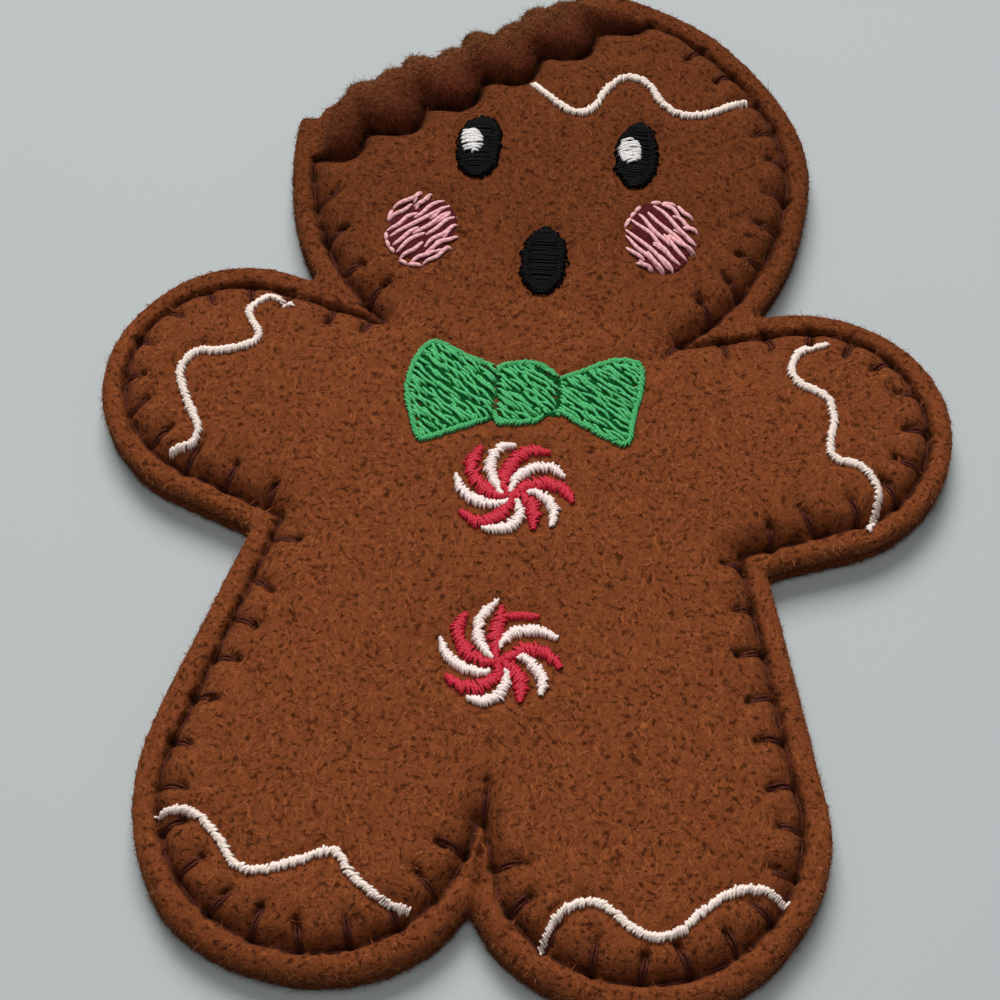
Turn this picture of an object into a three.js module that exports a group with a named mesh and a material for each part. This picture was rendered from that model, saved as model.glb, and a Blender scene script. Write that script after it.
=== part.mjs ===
// A felt gingerbread-man ornament: two felt layers sewn together over a thin filling, with a bite
// out of the head, and a face, bow tie, sweets and icing embroidered on the front layer.
// Millimetres. The ornament lies on its back: +Z leaves the face, +Y points to the head and +X is
// the viewer's right. The origin is on the table under the middle of the cut outline.
import * as THREE from "three";

// Figure along the seam: x = 0 is the centre line, y = 0 the waist. Limbs are hulls of two discs.
const HEAD_Y = 36; // widest line of the head
const HEAD_HALF_WIDTH = 22.2;
const HEAD_RISE = 20.2; // widest line to crown
const CHIN_Y = 12.4; // lowest point of the head, between the shoulders
const HEAD_DROP = HEAD_Y - CHIN_Y;
const SHOULDER = { x: 10.5, y: 4.7, radius: 11.1 };
const HAND = { x: 25.5, y: 9.6, radius: 10.1 };
const CHEST = { x: 6, y: 6, radius: 10.7 };
const FOOT = { x: 13, y: -28.6, radius: 12.9 };

// Bite: a row of tooth marks along a straight line across the head's upper left.
const BITE_ANGLE = THREE.MathUtils.degToRad(124.7); // direction from the head's middle to the bite
const BITE_LINE = 13.75; // head's middle to the line of tooth centres
const TOOTH_RADIUS = 3.6;
const TOOTH_PITCH = 6.3;
const TOOTH_SHIFT = 2.7; // first tooth centre along the line

// Felt, filling and how they are sewn.
const BACK_FELT = 1.7;
const FRONT_FELT = 1.7;
const FILLING = 1.6;
const STABILISER = 0.3; // backing sheet behind the embroidery
const TRIM_MARGIN = 2.2; // seam to cut edge
const BITE_MARGIN = 4.5; // seam to cut edge along the bite
const EDGE_ROUND = 0.4; // softened cut edge
const SEAM_SINK = 0.7; // how deep the stitches pull the front felt in
const SEAM_LAND = 0.45; // half width of the sewn valley
const SEAM_BANK = 0.4; // valley up to the flat margin
const SHOULDER_RUN = 2.4; // valley up to the swelling's shoulder
const SHOULDER_DROP = 0.5; // shoulder below the crown
const CROWN_RUN = 2.7; // shoulder to the level crown
const FILLING_INSET = 1.2; // filling's edge inside the shoulder's foot
const BACK_GROOVE = 0.5; // valley under the back felt

// Thread work.
const THREAD_CLEARANCE = 0.2; // under-run of every stitched patch over the felt
const SEAM_THREAD_WIDTH = 0.5;
const SEAM_THREAD_HEIGHT = 0.4;
const BACK_THREAD_HEIGHT = 0.25;
const BACK_THREAD_RISE = 0.1; // lowest thread above the table
const PRONG_PITCH = 4; // blanket-stitch prongs along the seam
const PRONG_LENGTH = 2.4;
const PRONG_WIDTH = 0.5;
const PRONG_BITE_GAP = 3; // no prongs this close to the bite
const SATIN_HEIGHT = 0.5;
const PATCH_GAP = 0.25; // between neighbouring stitched patches

// Face, from the head's middle.
const EYES = { x: 7.5, y: 1.9, width: 4.2, height: 7.5 };
const GLINTS = { x: -0.7, y: 0.7, width: 2.4, height: 2.8 };
const CHEEKS = { x: 10.95, y: -7.4, width: 7.1, height: 8.2 };
const MOUTH = { x: 0.3, y: -10.7, width: 4.3, height: 7.8 };

// Bow tie, from its own middle.
const BOW_Y = 11;
const BOW_TIP_X = 10.7;
const BOW_TIP_HALF = 4.9;
const BOW_TIP_BULGE = 0.7;
const BOW_TIP_ROUND = 0.9;
const BOW_WAIST_HALF = 2.6;
const KNOT_HALF_WIDTH = 3;
const KNOT_HALF_HEIGHT = 3.2;
const BOW_BORDER = 0.75;

// Peppermint sweets: curved satin arms, red and white in turn.
const SWEETS = { upper: 1.2, lower: -14.5 };
const SWEET_RADIUS = 5;
const SWEET_HUB = 1.5; // where the arms start
const SWEET_ARMS = 10;
const SWEET_TWIST = THREE.MathUtils.degToRad(52); // arms trail clockwise towards the rim
const SWEET_START = THREE.MathUtils.degToRad(92); // rim end of the first white arm
const SWEET_ARM_WIDTH = 1.2;
const SWEET_ARM_SHARE = 0.4; // widest an arm may be, as a share of its distance from the hub
const SWEET_STATIONS = 7;

// Icing lines: points in head, hand or foot radii from that limb's middle.
const ICING_WIDTH = 0.9;
const ICING_INSET = 1.1; // icing stops this far inside the seam
const ICING_STEP = 1.1;
const ICING_SPOTS = 80; // points tested for prongs along each line
const ICING_HEAD = [
  [-0.11, 0.52], [-0.05, 0.43], [0.07, 0.34], [0.15, 0.36], [0.22, 0.5], [0.29, 0.56],
  [0.38, 0.52], [0.45, 0.42], [0.54, 0.36], [0.68, 0.4], [0.81, 0.49],
];
const ICING_LEFT_HAND = [
  [0.33, 0.88], [0.15, 0.95], [-0.03, 0.76], [0.1, 0.46], [-0.2, 0.31], [-0.43, 0.28],
  [-0.53, 0.08], [-0.45, -0.18], [-0.3, -0.46], [-0.31, -0.68], [-0.48, -0.82],
];
const ICING_RIGHT_HAND = [
  [0.09, 0.91], [-0.1, 0.85], [-0.21, 0.65], [-0.13, 0.48], [0.1, 0.36], [0.18, 0.14],
  [0.15, -0.11], [0.19, -0.26], [0.43, -0.32], [0.57, -0.48], [0.58, -0.63], [0.51, -0.86],
];
const ICING_LEFT_FOOT = [
  [-0.96, -0.25], [-0.78, -0.2], [-0.6, -0.3], [-0.47, -0.48], [-0.31, -0.52], [-0.08, -0.44],
  [0.14, -0.35], [0.27, -0.5], [0.47, -0.64], [0.68, -0.69],
];
const ICING_RIGHT_FOOT = [
  [-0.55, -0.79], [-0.44, -0.6], [-0.23, -0.52], [-0.04, -0.64], [0.12, -0.7], [0.27, -0.65],
  [0.39, -0.53], [0.54, -0.39], [0.74, -0.33], [0.93, -0.37],
];

// Fineness of the traced outlines.
const GRID_STEP = 0.5;
const FINE_STEP = 0.2;
const SEAM_TOLERANCE = 0.03;
const FELT_TOLERANCE = 0.14;
const ELLIPSE_SIDES = 20;
const OVAL_RINGS = [0.35, 0.7, 1];

// Heights of the stack, from the table up.
const MARGIN_TOP = BACK_FELT + FRONT_FELT;
const SEAM_TOP = MARGIN_TOP - SEAM_SINK;
const CROWN_UNDER = BACK_FELT + FILLING + STABILISER;
const CROWN_TOP = CROWN_UNDER + FRONT_FELT;
const SHOULDER_TOP = CROWN_TOP - SHOULDER_DROP;

// Distances of the felt's creases from the seam, outward positive.
const BANK_AT = SEAM_LAND + SEAM_BANK;
const SHOULDER_AT = -(SEAM_LAND + SHOULDER_RUN);
const CROWN_AT = SHOULDER_AT - CROWN_RUN;
const UNDER_FOOT_AT = -(SEAM_LAND + SEAM_LAND);

const COLOURS = {
  felt: 0x7a4024,
  filling: 0xe9e4da,
  stabiliser: 0xf4f2ee,
  seam: 0x2f1911,
  icing: 0xefe7dd,
  black: 0x17171a,
  glint: 0xf2efeb,
  cheek: 0xe8a5af,
  green: 0x35a763,
  red: 0xc4203a,
};
const FABRIC_ROUGHNESS = 0.92;
const THREAD_ROUGHNESS = 0.55;

// Fields: signed distances over the plane, negative inside.

function roundHull(x, y, a, b) {
  const length = Math.hypot(b.x - a.x, b.y - a.y);
  const ux = (b.x - a.x) / length;
  const uy = (b.y - a.y) / length;
  const along = (x - a.x) * ux + (y - a.y) * uy;
  const across = Math.abs((x - a.x) * uy - (y - a.y) * ux);
  const lean = (a.radius - b.radius) / length;
  const rise = Math.sqrt(1 - lean * lean);
  const place = rise * along - lean * across;
  if (place < 0) return Math.hypot(across, along) - a.radius;
  if (place > rise * length) return Math.hypot(across, along - length) - b.radius;
  return rise * across + lean * along - a.radius;
}

function headField(x, y) {
  const reach = y > HEAD_Y ? HEAD_RISE : HEAD_DROP;
  return (Math.hypot(x / HEAD_HALF_WIDTH, (y - HEAD_Y) / reach) - 1) * HEAD_HALF_WIDTH;
}

function figureField(x, y) {
  const side = Math.abs(x);
  const arm = roundHull(side, y, SHOULDER, HAND);
  const leg = roundHull(side, y, CHEST, FOOT);
  return Math.min(headField(x, y), arm, leg);
}

function biteField(x, y) {
  const outX = Math.cos(BITE_ANGLE);
  const outY = Math.sin(BITE_ANGLE);
  const beyond = x * outX + (y - HEAD_Y) * outY - BITE_LINE;
  const along = x * outY - (y - HEAD_Y) * outX;
  const tooth = Math.round((along - TOOTH_SHIFT) / TOOTH_PITCH) * TOOTH_PITCH + TOOTH_SHIFT;
  return Math.min(-beyond, Math.hypot(along - tooth, beyond) - TOOTH_RADIUS);
}

function seamField(x, y) {
  return Math.max(figureField(x, y), -biteField(x, y));
}

function distanceTo(loop) {
  return (x, y) => {
    let nearest = Infinity;
    let inside = false;
    for (let i = 0, k = loop.length - 1; i < loop.length; k = i++) {
      const a = loop[k];
      const b = loop[i];
      const ex = b.x - a.x;
      const ey = b.y - a.y;
      const t = THREE.MathUtils.clamp(
        ((x - a.x) * ex + (y - a.y) * ey) / (ex * ex + ey * ey), 0, 1);
      nearest = Math.min(nearest, Math.hypot(x - a.x - t * ex, y - a.y - t * ey));
      if (a.y > y !== b.y > y && x < a.x + (ex * (y - a.y)) / ey) inside = !inside;
    }
    return inside ? -nearest : nearest;
  };
}

// Contours: a field sampled on a grid, and its longest level line, anticlockwise.

function sampleField(field, box, step) {
  const columns = Math.ceil((box.max.x - box.min.x) / step) + 1;
  const rows = Math.ceil((box.max.y - box.min.y) / step) + 1;
  const values = new Float64Array(columns * rows);
  for (let j = 0; j < rows; j++) {
    for (let i = 0; i < columns; i++) {
      values[j * columns + i] = field(box.min.x + i * step, box.min.y + j * step);
    }
  }
  return { columns, rows, values, box, step };
}

const CELL_LINES = {
  1: ["BL"], 2: ["RB"], 3: ["RL"], 4: ["TR"], 6: ["TB"], 7: ["TL"], 8: ["LT"],
  9: ["BT"], 11: ["RT"], 12: ["LR"], 13: ["BR"], 14: ["LB"],
};

function contour(grid, level, tolerance) {
  const { columns, rows, values, box, step } = grid;
  const next = new Map();
  const points = new Map();
  const cross = (i, j, di, dj) => {
    const key = (j * columns + i) * 2 + dj;
    const a = values[j * columns + i];
    const b = values[(j + dj) * columns + i + di];
    const t = THREE.MathUtils.clamp((level - a) / (b - a), 0.02, 0.98);
    const at = new THREE.Vector2(box.min.x + (i + t * di) * step, box.min.y + (j + t * dj) * step);
    points.set(key, at);
    return key;
  };
  for (let j = 0; j + 1 < rows; j++) {
    for (let i = 0; i + 1 < columns; i++) {
      const corner = j * columns + i;
      const cell = [corner, corner + 1, corner + columns + 1, corner + columns];
      const held = cell.map((c) => values[c] < level);
      const code = held.reduce((sum, inside, bit) => sum + (inside ? 1 << bit : 0), 0);
      const middle = cell.reduce((sum, c) => sum + values[c] / cell.length, 0) < level;
      let lines = CELL_LINES[code] ?? [];
      if (code === 5) lines = middle ? ["TL", "BR"] : ["BL", "TR"];
      if (code === 10) lines = middle ? ["LB", "RT"] : ["LT", "RB"];
      const edges = {
        B: () => cross(i, j, 1, 0),
        T: () => cross(i, j + 1, 1, 0),
        L: () => cross(i, j, 0, 1),
        R: () => cross(i + 1, j, 0, 1),
      };
      for (const [from, to] of lines) next.set(edges[from](), edges[to]());
    }
  }
  let longest = [];
  while (next.size) {
    const loop = [];
    let key = next.keys().next().value;
    while (next.has(key)) {
      loop.push(points.get(key));
      const after = next.get(key);
      next.delete(key);
      key = after;
    }
    if (loop.length > longest.length) longest = loop;
  }
  return simplify(longest, tolerance);
}

// Fewest points that keep a closed loop within the tolerance.
function simplify(loop, tolerance) {
  const start = loop.reduce((best, p, i) => (p.x > loop[best].x ? i : best), 0);
  const turned = [...loop.slice(start), ...loop.slice(0, start), loop[start]];
  const far = turned.reduce(
    (best, p, i) => (p.distanceTo(turned[0]) > turned[best].distanceTo(turned[0]) ? i : best), 0);
  const keep = new Set([0, far]);
  const spans = [[0, far], [far, turned.length - 1]];
  while (spans.length) {
    const [from, to] = spans.pop();
    const line = new THREE.Line3(
      new THREE.Vector3(turned[from].x, turned[from].y), new THREE.Vector3(turned[to].x, turned[to].y));
    let worst = tolerance;
    let at = -1;
    for (let i = from + 1; i < to; i++) {
      const point = new THREE.Vector3(turned[i].x, turned[i].y);
      const off = line.closestPointToPoint(point, true, new THREE.Vector3()).distanceTo(point);
      if (off > worst) {
        worst = off;
        at = i;
      }
    }
    if (at < 0) continue;
    keep.add(at);
    spans.push([from, at], [at, to]);
  }
  return [...keep].sort((a, b) => a - b).map((i) => turned[i]);
}

function boxOf(loop, room) {
  const box = new THREE.Box2().setFromPoints(loop).expandByScalar(room);
  box.min.multiplyScalar(1 / GRID_STEP).floor().multiplyScalar(GRID_STEP);
  return box;
}

// Solids. A ring is a loop at one height, or at a height for each of its points.

class SolidBuilder {
  constructor() {
    this.positions = [];
    this.index = [];
  }

  addRing(loop, height) {
    const first = this.positions.length / 3;
    loop.forEach((p, i) => this.positions.push(p.x, p.y, Array.isArray(height) ? height[i] : height));
    return { loop, first };
  }

  face(...corners) {
    for (let i = 2; i < corners.length; i++) this.index.push(corners[0], corners[i - 1], corners[i]);
  }

  // Wall between two rings made from the same loop, the upper one first.
  wall(upper, lower, skip = () => false) {
    const n = upper.loop.length;
    for (let i = 0; i < n; i++) {
      const k = (i + 1) % n;
      if (skip(i)) continue;
      this.face(upper.first + i, lower.first + i, lower.first + k, upper.first + k);
    }
  }

  // Strip between two rings of any counts, with the least total length of its cross edges.
  stitch(a, b) {
    const na = a.loop.length;
    const nb = b.loop.length;
    const shift = b.loop.reduce(
      (best, p, j) => (p.distanceTo(a.loop[0]) < b.loop[best].distanceTo(a.loop[0]) ? j : best), 0);
    const pa = (i) => a.loop[i % na];
    const pb = (j) => b.loop[(j + shift) % nb];
    const cost = new Float64Array((na + 1) * (nb + 1)).fill(Infinity);
    const fromA = new Uint8Array(cost.length);
    cost[0] = 0;
    for (let i = 0; i <= na; i++) {
      for (let j = 0; j <= nb; j++) {
        const at = i * (nb + 1) + j;
        const edge = pa(i).distanceTo(pb(j));
        if (i && cost[at - nb - 1] + edge < cost[at]) {
          cost[at] = cost[at - nb - 1] + edge;
          fromA[at] = 1;
        }
        if (j && cost[at - 1] + edge < cost[at]) {
          cost[at] = cost[at - 1] + edge;
          fromA[at] = 0;
        }
      }
    }
    const va = (i) => a.first + (i % na);
    const vb = (j) => b.first + ((j + shift) % nb);
    let i = na;
    let j = nb;
    while (i || j) {
      if (fromA[i * (nb + 1) + j]) {
        this.face(va(i - 1), vb(j), va(i));
        i--;
      } else {
        this.face(va(i), vb(j - 1), vb(j));
        j--;
      }
    }
  }

  cap(ring, holes, up) {
    const rings = [ring, ...holes];
    const vertex = rings.flatMap((r) => r.loop.map((p, i) => r.first + i));
    const triangles = THREE.ShapeUtils.triangulateShape(ring.loop, holes.map((h) => h.loop));
    for (const [p, q, r] of triangles) {
      if (up) this.face(vertex[p], vertex[q], vertex[r]);
      else this.face(vertex[p], vertex[r], vertex[q]);
    }
  }

  geometry() {
    const made = new THREE.BufferGeometry();
    made.setAttribute("position", new THREE.Float32BufferAttribute(this.positions, 3));
    made.setIndex(this.index);
    made.computeVertexNormals();
    return made;
  }
}

// A sheet whose rings run from the middle of its top, round its edge, to the middle of its underside.
function sheetSolid(rings) {
  const solid = new SolidBuilder();
  const placed = rings.map(([loop, height]) => solid.addRing(loop, height));
  solid.cap(placed[0], [], true);
  for (let k = 1; k < placed.length; k++) {
    if (placed[k].loop === placed[k - 1].loop) solid.wall(placed[k - 1], placed[k]);
    else solid.stitch(placed[k - 1], placed[k]);
  }
  solid.cap(placed.at(-1), [], false);
  return solid.geometry();
}

// A stitched patch of even thickness that follows the felt under it.
function patchSolid(outline, thickness, bed, holes = []) {
  const solid = new SolidBuilder();
  const lowZ = (loop) => loop.map((p) => bed(p.x, p.y));
  const highZ = (loop) => lowZ(loop).map((z) => z + thickness);
  const loops = [outline, ...holes];
  const high = loops.map((loop) => solid.addRing(loop, highZ(loop)));
  const low = loops.map((loop) => solid.addRing(loop, lowZ(loop)));
  solid.cap(high[0], high.slice(1), true);
  solid.cap(low[0], low.slice(1), false);
  solid.wall(high[0], low[0]);
  for (let k = 1; k < loops.length; k++) solid.wall(low[k], high[k]);
  return solid.geometry();
}

// A satin column: pairs of points to the left and right of its run.
function columnSolid(pairs, thickness, bed) {
  const solid = new SolidBuilder();
  const sections = pairs.map(([left, right]) => {
    const loop = [left, right, right, left];
    const low = [bed(left.x, left.y), bed(right.x, right.y)];
    return solid.addRing(loop, [low[0], low[1], low[1] + thickness, low[0] + thickness]).first;
  });
  for (let k = 1; k < sections.length; k++) {
    for (let c = 0; c < 4; c++) {
      const d = (c + 1) % 4;
      solid.face(sections[k - 1] + c, sections[k] + c, sections[k] + d, sections[k - 1] + d);
    }
  }
  const first = sections[0];
  const last = sections.at(-1);
  solid.face(first, first + 1, first + 2, first + 3);
  solid.face(last + 3, last + 2, last + 1, last);
  return solid.geometry();
}

// Outlines.

const FIGURE_BOX = new THREE.Box2(
  new THREE.Vector2(-(HAND.x + HAND.radius), FOOT.y - FOOT.radius),
  new THREE.Vector2(HAND.x + HAND.radius, HEAD_Y + HEAD_RISE),
);
const WORK_BOX = boxOf([FIGURE_BOX.min, FIGURE_BOX.max], Math.max(TRIM_MARGIN, BITE_MARGIN) + GRID_STEP);

const figureLoop = contour(sampleField(figureField, WORK_BOX, GRID_STEP), 0, SEAM_TOLERANCE);
const seamLoop = contour(sampleField(seamField, WORK_BOX, GRID_STEP), 0, SEAM_TOLERANCE);
const seamDistance = distanceTo(seamLoop);
const figureDistance = distanceTo(figureLoop);
const seamGrid = sampleField(seamDistance, WORK_BOX, GRID_STEP);
const seamOffset = (distance) => contour(seamGrid, distance, FELT_TOLERANCE);

const cutField = (x, y) => Math.max(figureDistance(x, y) - TRIM_MARGIN, seamDistance(x, y) - BITE_MARGIN);
const cutLoop = contour(sampleField(cutField, WORK_BOX, GRID_STEP), 0, FELT_TOLERANCE);
const cutGrid = sampleField(distanceTo(cutLoop), WORK_BOX, GRID_STEP);
const softLoop = contour(cutGrid, -EDGE_ROUND, FELT_TOLERANCE);

const bankLoop = seamOffset(BANK_AT);
const landOuterLoop = seamOffset(SEAM_LAND);
const landInnerLoop = seamOffset(-SEAM_LAND);
const underFootLoop = seamOffset(UNDER_FOOT_AT);
const shoulderLoop = seamOffset(SHOULDER_AT);
const crownLoop = seamOffset(CROWN_AT);

// Height of the front felt's upper face at a distance from the seam.
const FRONT_PROFILE = [
  [BANK_AT, MARGIN_TOP],
  [SEAM_LAND, SEAM_TOP],
  [-SEAM_LAND, SEAM_TOP],
  [SHOULDER_AT, SHOULDER_TOP],
  [CROWN_AT, CROWN_TOP],
];

function frontTop(distance) {
  if (distance >= FRONT_PROFILE[0][0]) return FRONT_PROFILE[0][1];
  for (let k = 1; k < FRONT_PROFILE.length; k++) {
    const [farther, high] = FRONT_PROFILE[k - 1];
    const [nearer, low] = FRONT_PROFILE[k];
    if (distance >= nearer) return THREE.MathUtils.mapLinear(distance, farther, nearer, high, low);
  }
  return CROWN_TOP;
}

// Where a stitched patch rests: just clear of the highest felt close by.
function frontBed(x, y) {
  const reach = ICING_STEP / 2;
  const spots = [[0, 0], [reach, 0], [-reach, 0], [0, reach], [0, -reach]];
  return Math.max(...spots.map(([dx, dy]) => frontTop(seamDistance(x + dx, y + dy)))) + THREAD_CLEARANCE;
}

function ellipseLoop(x, y, width, height) {
  const curve = new THREE.EllipseCurve(x, y, width / 2, height / 2);
  return curve.getPoints(ELLIPSE_SIDES).slice(0, ELLIPSE_SIDES);
}

// An oval fill of stitches, with inner rings so that it follows the swelling under it.
function ovalSolid(x, y, { width, height }, bed) {
  const loops = OVAL_RINGS.map((share) => ellipseLoop(x, y, share * width, share * height));
  const low = loops.map((loop) => [loop, loop.map((p) => bed(p.x, p.y))]);
  const high = low.map(([loop, heights]) => [loop, heights.map((z) => z + SATIN_HEIGHT)]);
  return sheetSolid([...high, ...low.reverse()]);
}

function insetLoop(loop, distance) {
  const grid = sampleField(distanceTo(loop), boxOf(loop, GRID_STEP), FINE_STEP);
  return contour(grid, -distance, SEAM_TOLERANCE);
}

function icingCurve(points, x, y, radiusX, radiusY) {
  return new THREE.SplineCurve(points.map(([u, v]) => new THREE.Vector2(x + u * radiusX, y + v * radiusY)));
}

const icingCurves = {
  icing_head: icingCurve(ICING_HEAD, 0, HEAD_Y, HEAD_HALF_WIDTH, HEAD_RISE),
  icing_left_hand: icingCurve(ICING_LEFT_HAND, -HAND.x, HAND.y, HAND.radius, HAND.radius),
  icing_right_hand: icingCurve(ICING_RIGHT_HAND, HAND.x, HAND.y, HAND.radius, HAND.radius),
  icing_left_foot: icingCurve(ICING_LEFT_FOOT, -FOOT.x, FOOT.y, FOOT.radius, FOOT.radius),
  icing_right_foot: icingCurve(ICING_RIGHT_FOOT, FOOT.x, FOOT.y, FOOT.radius, FOOT.radius),
};
const icingSpots = Object.values(icingCurves).flatMap((curve) => curve.getSpacedPoints(ICING_SPOTS));

// Whether a prong from a point on the seam would run into an icing line.
function meetsIcing(root, inward) {
  const room = (ICING_WIDTH + PRONG_WIDTH) / 2 + PATCH_GAP;
  const tip = root.clone().addScaledVector(inward, PRONG_LENGTH);
  const line = new THREE.Line3(new THREE.Vector3(root.x, root.y), new THREE.Vector3(tip.x, tip.y));
  return icingSpots.some((spot) => {
    const at = new THREE.Vector3(spot.x, spot.y);
    return line.closestPointToPoint(at, true, new THREE.Vector3()).distanceTo(at) < room;
  });
}

// Pieces.

const ornament = new THREE.Group();
const cutBox = new THREE.Box2().setFromPoints(cutLoop);
ornament.position.y = -cutBox.getCenter(new THREE.Vector2()).y;
const part = new THREE.Group();
part.add(ornament);

function addPiece(name, geometry, color, roughness) {
  const material = new THREE.MeshStandardMaterial({ color, roughness, metalness: 0 });
  const mesh = new THREE.Mesh(geometry, material);
  mesh.name = name;
  ornament.add(mesh);
}

const addFabric = (name, geometry, color) => addPiece(name, geometry, color, FABRIC_ROUGHNESS);
const addThread = (name, geometry, color) => addPiece(name, geometry, color, THREAD_ROUGHNESS);

function addFelt() {
  const front = sheetSolid([
    [crownLoop, CROWN_TOP],
    [shoulderLoop, SHOULDER_TOP],
    [landInnerLoop, SEAM_TOP],
    [landOuterLoop, SEAM_TOP],
    [bankLoop, MARGIN_TOP],
    [softLoop, MARGIN_TOP],
    [cutLoop, MARGIN_TOP - EDGE_ROUND],
    [cutLoop, BACK_FELT],
    [underFootLoop, BACK_FELT],
    [shoulderLoop, SHOULDER_TOP - FRONT_FELT],
    [crownLoop, CROWN_UNDER],
  ]);
  addFabric("front_felt", front, COLOURS.felt);
  const back = sheetSolid([
    [cutLoop, BACK_FELT],
    [cutLoop, EDGE_ROUND],
    [softLoop, 0],
    [bankLoop, 0],
    [landOuterLoop, BACK_GROOVE],
    [landInnerLoop, BACK_GROOVE],
    [underFootLoop, 0],
  ]);
  addFabric("back_felt", back, COLOURS.felt);
}

function addFilling() {
  const edgeLoop = seamOffset(UNDER_FOOT_AT - FILLING_INSET);
  const innerLoop = seamOffset(CROWN_AT - FILLING_INSET);
  const top = BACK_FELT + FILLING;
  const filling = sheetSolid([
    [innerLoop, top],
    [edgeLoop, BACK_FELT + EDGE_ROUND],
    [edgeLoop, BACK_FELT],
  ]);
  addFabric("stuffing", filling, COLOURS.filling);
  const backing = sheetSolid([
    [innerLoop, CROWN_UNDER],
    [innerLoop, top],
  ]);
  addFabric("stabilizer", backing, COLOURS.stabiliser);
}

// Places along a loop, as [point, inward direction] by distance walked.
function loopWalk(loop) {
  const steps = loop.map((p, i) => p.distanceTo(loop[(i + 1) % loop.length]));
  const total = steps.reduce((sum, s) => sum + s, 0);
  const at = (distance) => {
    let left = ((distance % total) + total) % total;
    let i = 0;
    while (left > steps[i] && i + 1 < steps.length) left -= steps[i++];
    const a = loop[i];
    const run = loop[(i + 1) % loop.length].clone().sub(a).normalize();
    return [a.clone().addScaledVector(run, left), new THREE.Vector2(-run.y, run.x)];
  };
  return { steps, total, at };
}

// Blanket stitch: a line of thread along the seam, with prongs that reach inwards over the swelling.
function addFrontSeam() {
  const half = SEAM_THREAD_WIDTH / 2;
  const outer = seamOffset(half);
  const line = seamOffset(-half);
  const walk = loopWalk(line);
  const count = Math.round(walk.total / PRONG_PITCH);
  const stops = [];
  let walked = 0;
  line.forEach((p, i) => {
    stops.push({ place: walked, point: p });
    walked += walk.steps[i];
  });
  for (let k = 0; k < count; k++) {
    const place = ((k + 0.5) * walk.total) / count;
    const [point, inward] = walk.at(place);
    if (biteField(point.x, point.y) < PRONG_BITE_GAP || meetsIcing(point, inward)) continue;
    const start = place - PRONG_WIDTH / 2;
    const end = place + PRONG_WIDTH / 2;
    const under = (s) => !s.prong && s.place > start - half && s.place < end + half;
    for (let i = stops.length - 1; i >= 0; i--) if (under(stops[i])) stops.splice(i, 1);
    stops.push({ place: start, point: walk.at(start)[0], prong: inward });
    stops.push({ place: end, point: walk.at(end)[0], end: true, prong: inward });
  }
  stops.sort((a, b) => a.place - b.place);

  const solid = new SolidBuilder();
  const low = SEAM_TOP + THREAD_CLEARANCE;
  const high = low + SEAM_THREAD_HEIGHT;
  const inner = stops.map((s) => s.point);
  const rings = {
    outerHigh: solid.addRing(outer, high),
    outerLow: solid.addRing(outer, low),
    innerHigh: solid.addRing(inner, high),
    innerLow: solid.addRing(inner, low),
  };
  const isRoot = (i) => stops[i].prong && !stops[i].end;
  solid.stitch(rings.innerHigh, rings.outerHigh);
  solid.stitch(rings.outerLow, rings.innerLow);
  solid.wall(rings.outerHigh, rings.outerLow);
  solid.wall(rings.innerLow, rings.innerHigh, isRoot);
  stops.forEach((stop, i) => {
    if (!isRoot(i)) return;
    const k = i + 1;
    const tips = [i, k].map((n) => stops[n].point.clone().addScaledVector(stop.prong, PRONG_LENGTH));
    const beds = tips.map((p) => frontTop(seamDistance(p.x, p.y)) + THREAD_CLEARANCE);
    const tipLow = solid.addRing(tips, beds).first;
    const tipHigh = solid.addRing(tips, beds.map((z) => z + SEAM_THREAD_HEIGHT)).first;
    const [h, l] = [rings.innerHigh.first, rings.innerLow.first];
    solid.face(h + i, h + k, tipHigh + 1, tipHigh);
    solid.face(l + k, l + i, tipLow, tipLow + 1);
    solid.face(h + k, l + k, tipLow + 1, tipHigh + 1);
    solid.face(l + i, h + i, tipHigh, tipLow);
    solid.face(tipHigh, tipHigh + 1, tipLow + 1, tipLow);
  });
  addThread("seam_thread_front", solid.geometry(), COLOURS.seam);
}

// Bobbin thread, sunk in the valley under the back felt.
function addBackSeam() {
  const outer = seamOffset(SEAM_THREAD_WIDTH / 2);
  const inner = seamOffset(-SEAM_THREAD_WIDTH / 2);
  const solid = new SolidBuilder();
  const low = BACK_THREAD_RISE;
  const high = low + BACK_THREAD_HEIGHT;
  const outerHigh = solid.addRing(outer, high);
  const outerLow = solid.addRing(outer, low);
  const innerHigh = solid.addRing(inner, high);
  const innerLow = solid.addRing(inner, low);
  solid.stitch(innerHigh, outerHigh);
  solid.stitch(outerLow, innerLow);
  solid.wall(outerHigh, outerLow);
  solid.wall(innerLow, innerHigh);
  addThread("seam_thread_back", solid.geometry(), COLOURS.seam);
}

function addFace() {
  const eyeTop = (x, y) => frontBed(x, y) + SATIN_HEIGHT + THREAD_CLEARANCE;
  for (const [side, sign] of [["left", -1], ["right", 1]]) {
    const x = sign * EYES.x;
    const y = HEAD_Y + EYES.y;
    addThread(side + "_eye", ovalSolid(x, y, EYES, frontBed), COLOURS.black);
    const glint = ovalSolid(x + GLINTS.x, y + GLINTS.y, GLINTS, eyeTop);
    addThread(side + "_eye_glint", glint, COLOURS.glint);
    const cheek = ovalSolid(sign * CHEEKS.x, HEAD_Y + CHEEKS.y, CHEEKS, frontBed);
    addThread(side + "_cheek", cheek, COLOURS.cheek);
  }
  addThread("mouth", ovalSolid(MOUTH.x, HEAD_Y + MOUTH.y, MOUTH, frontBed), COLOURS.black);
}

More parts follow.
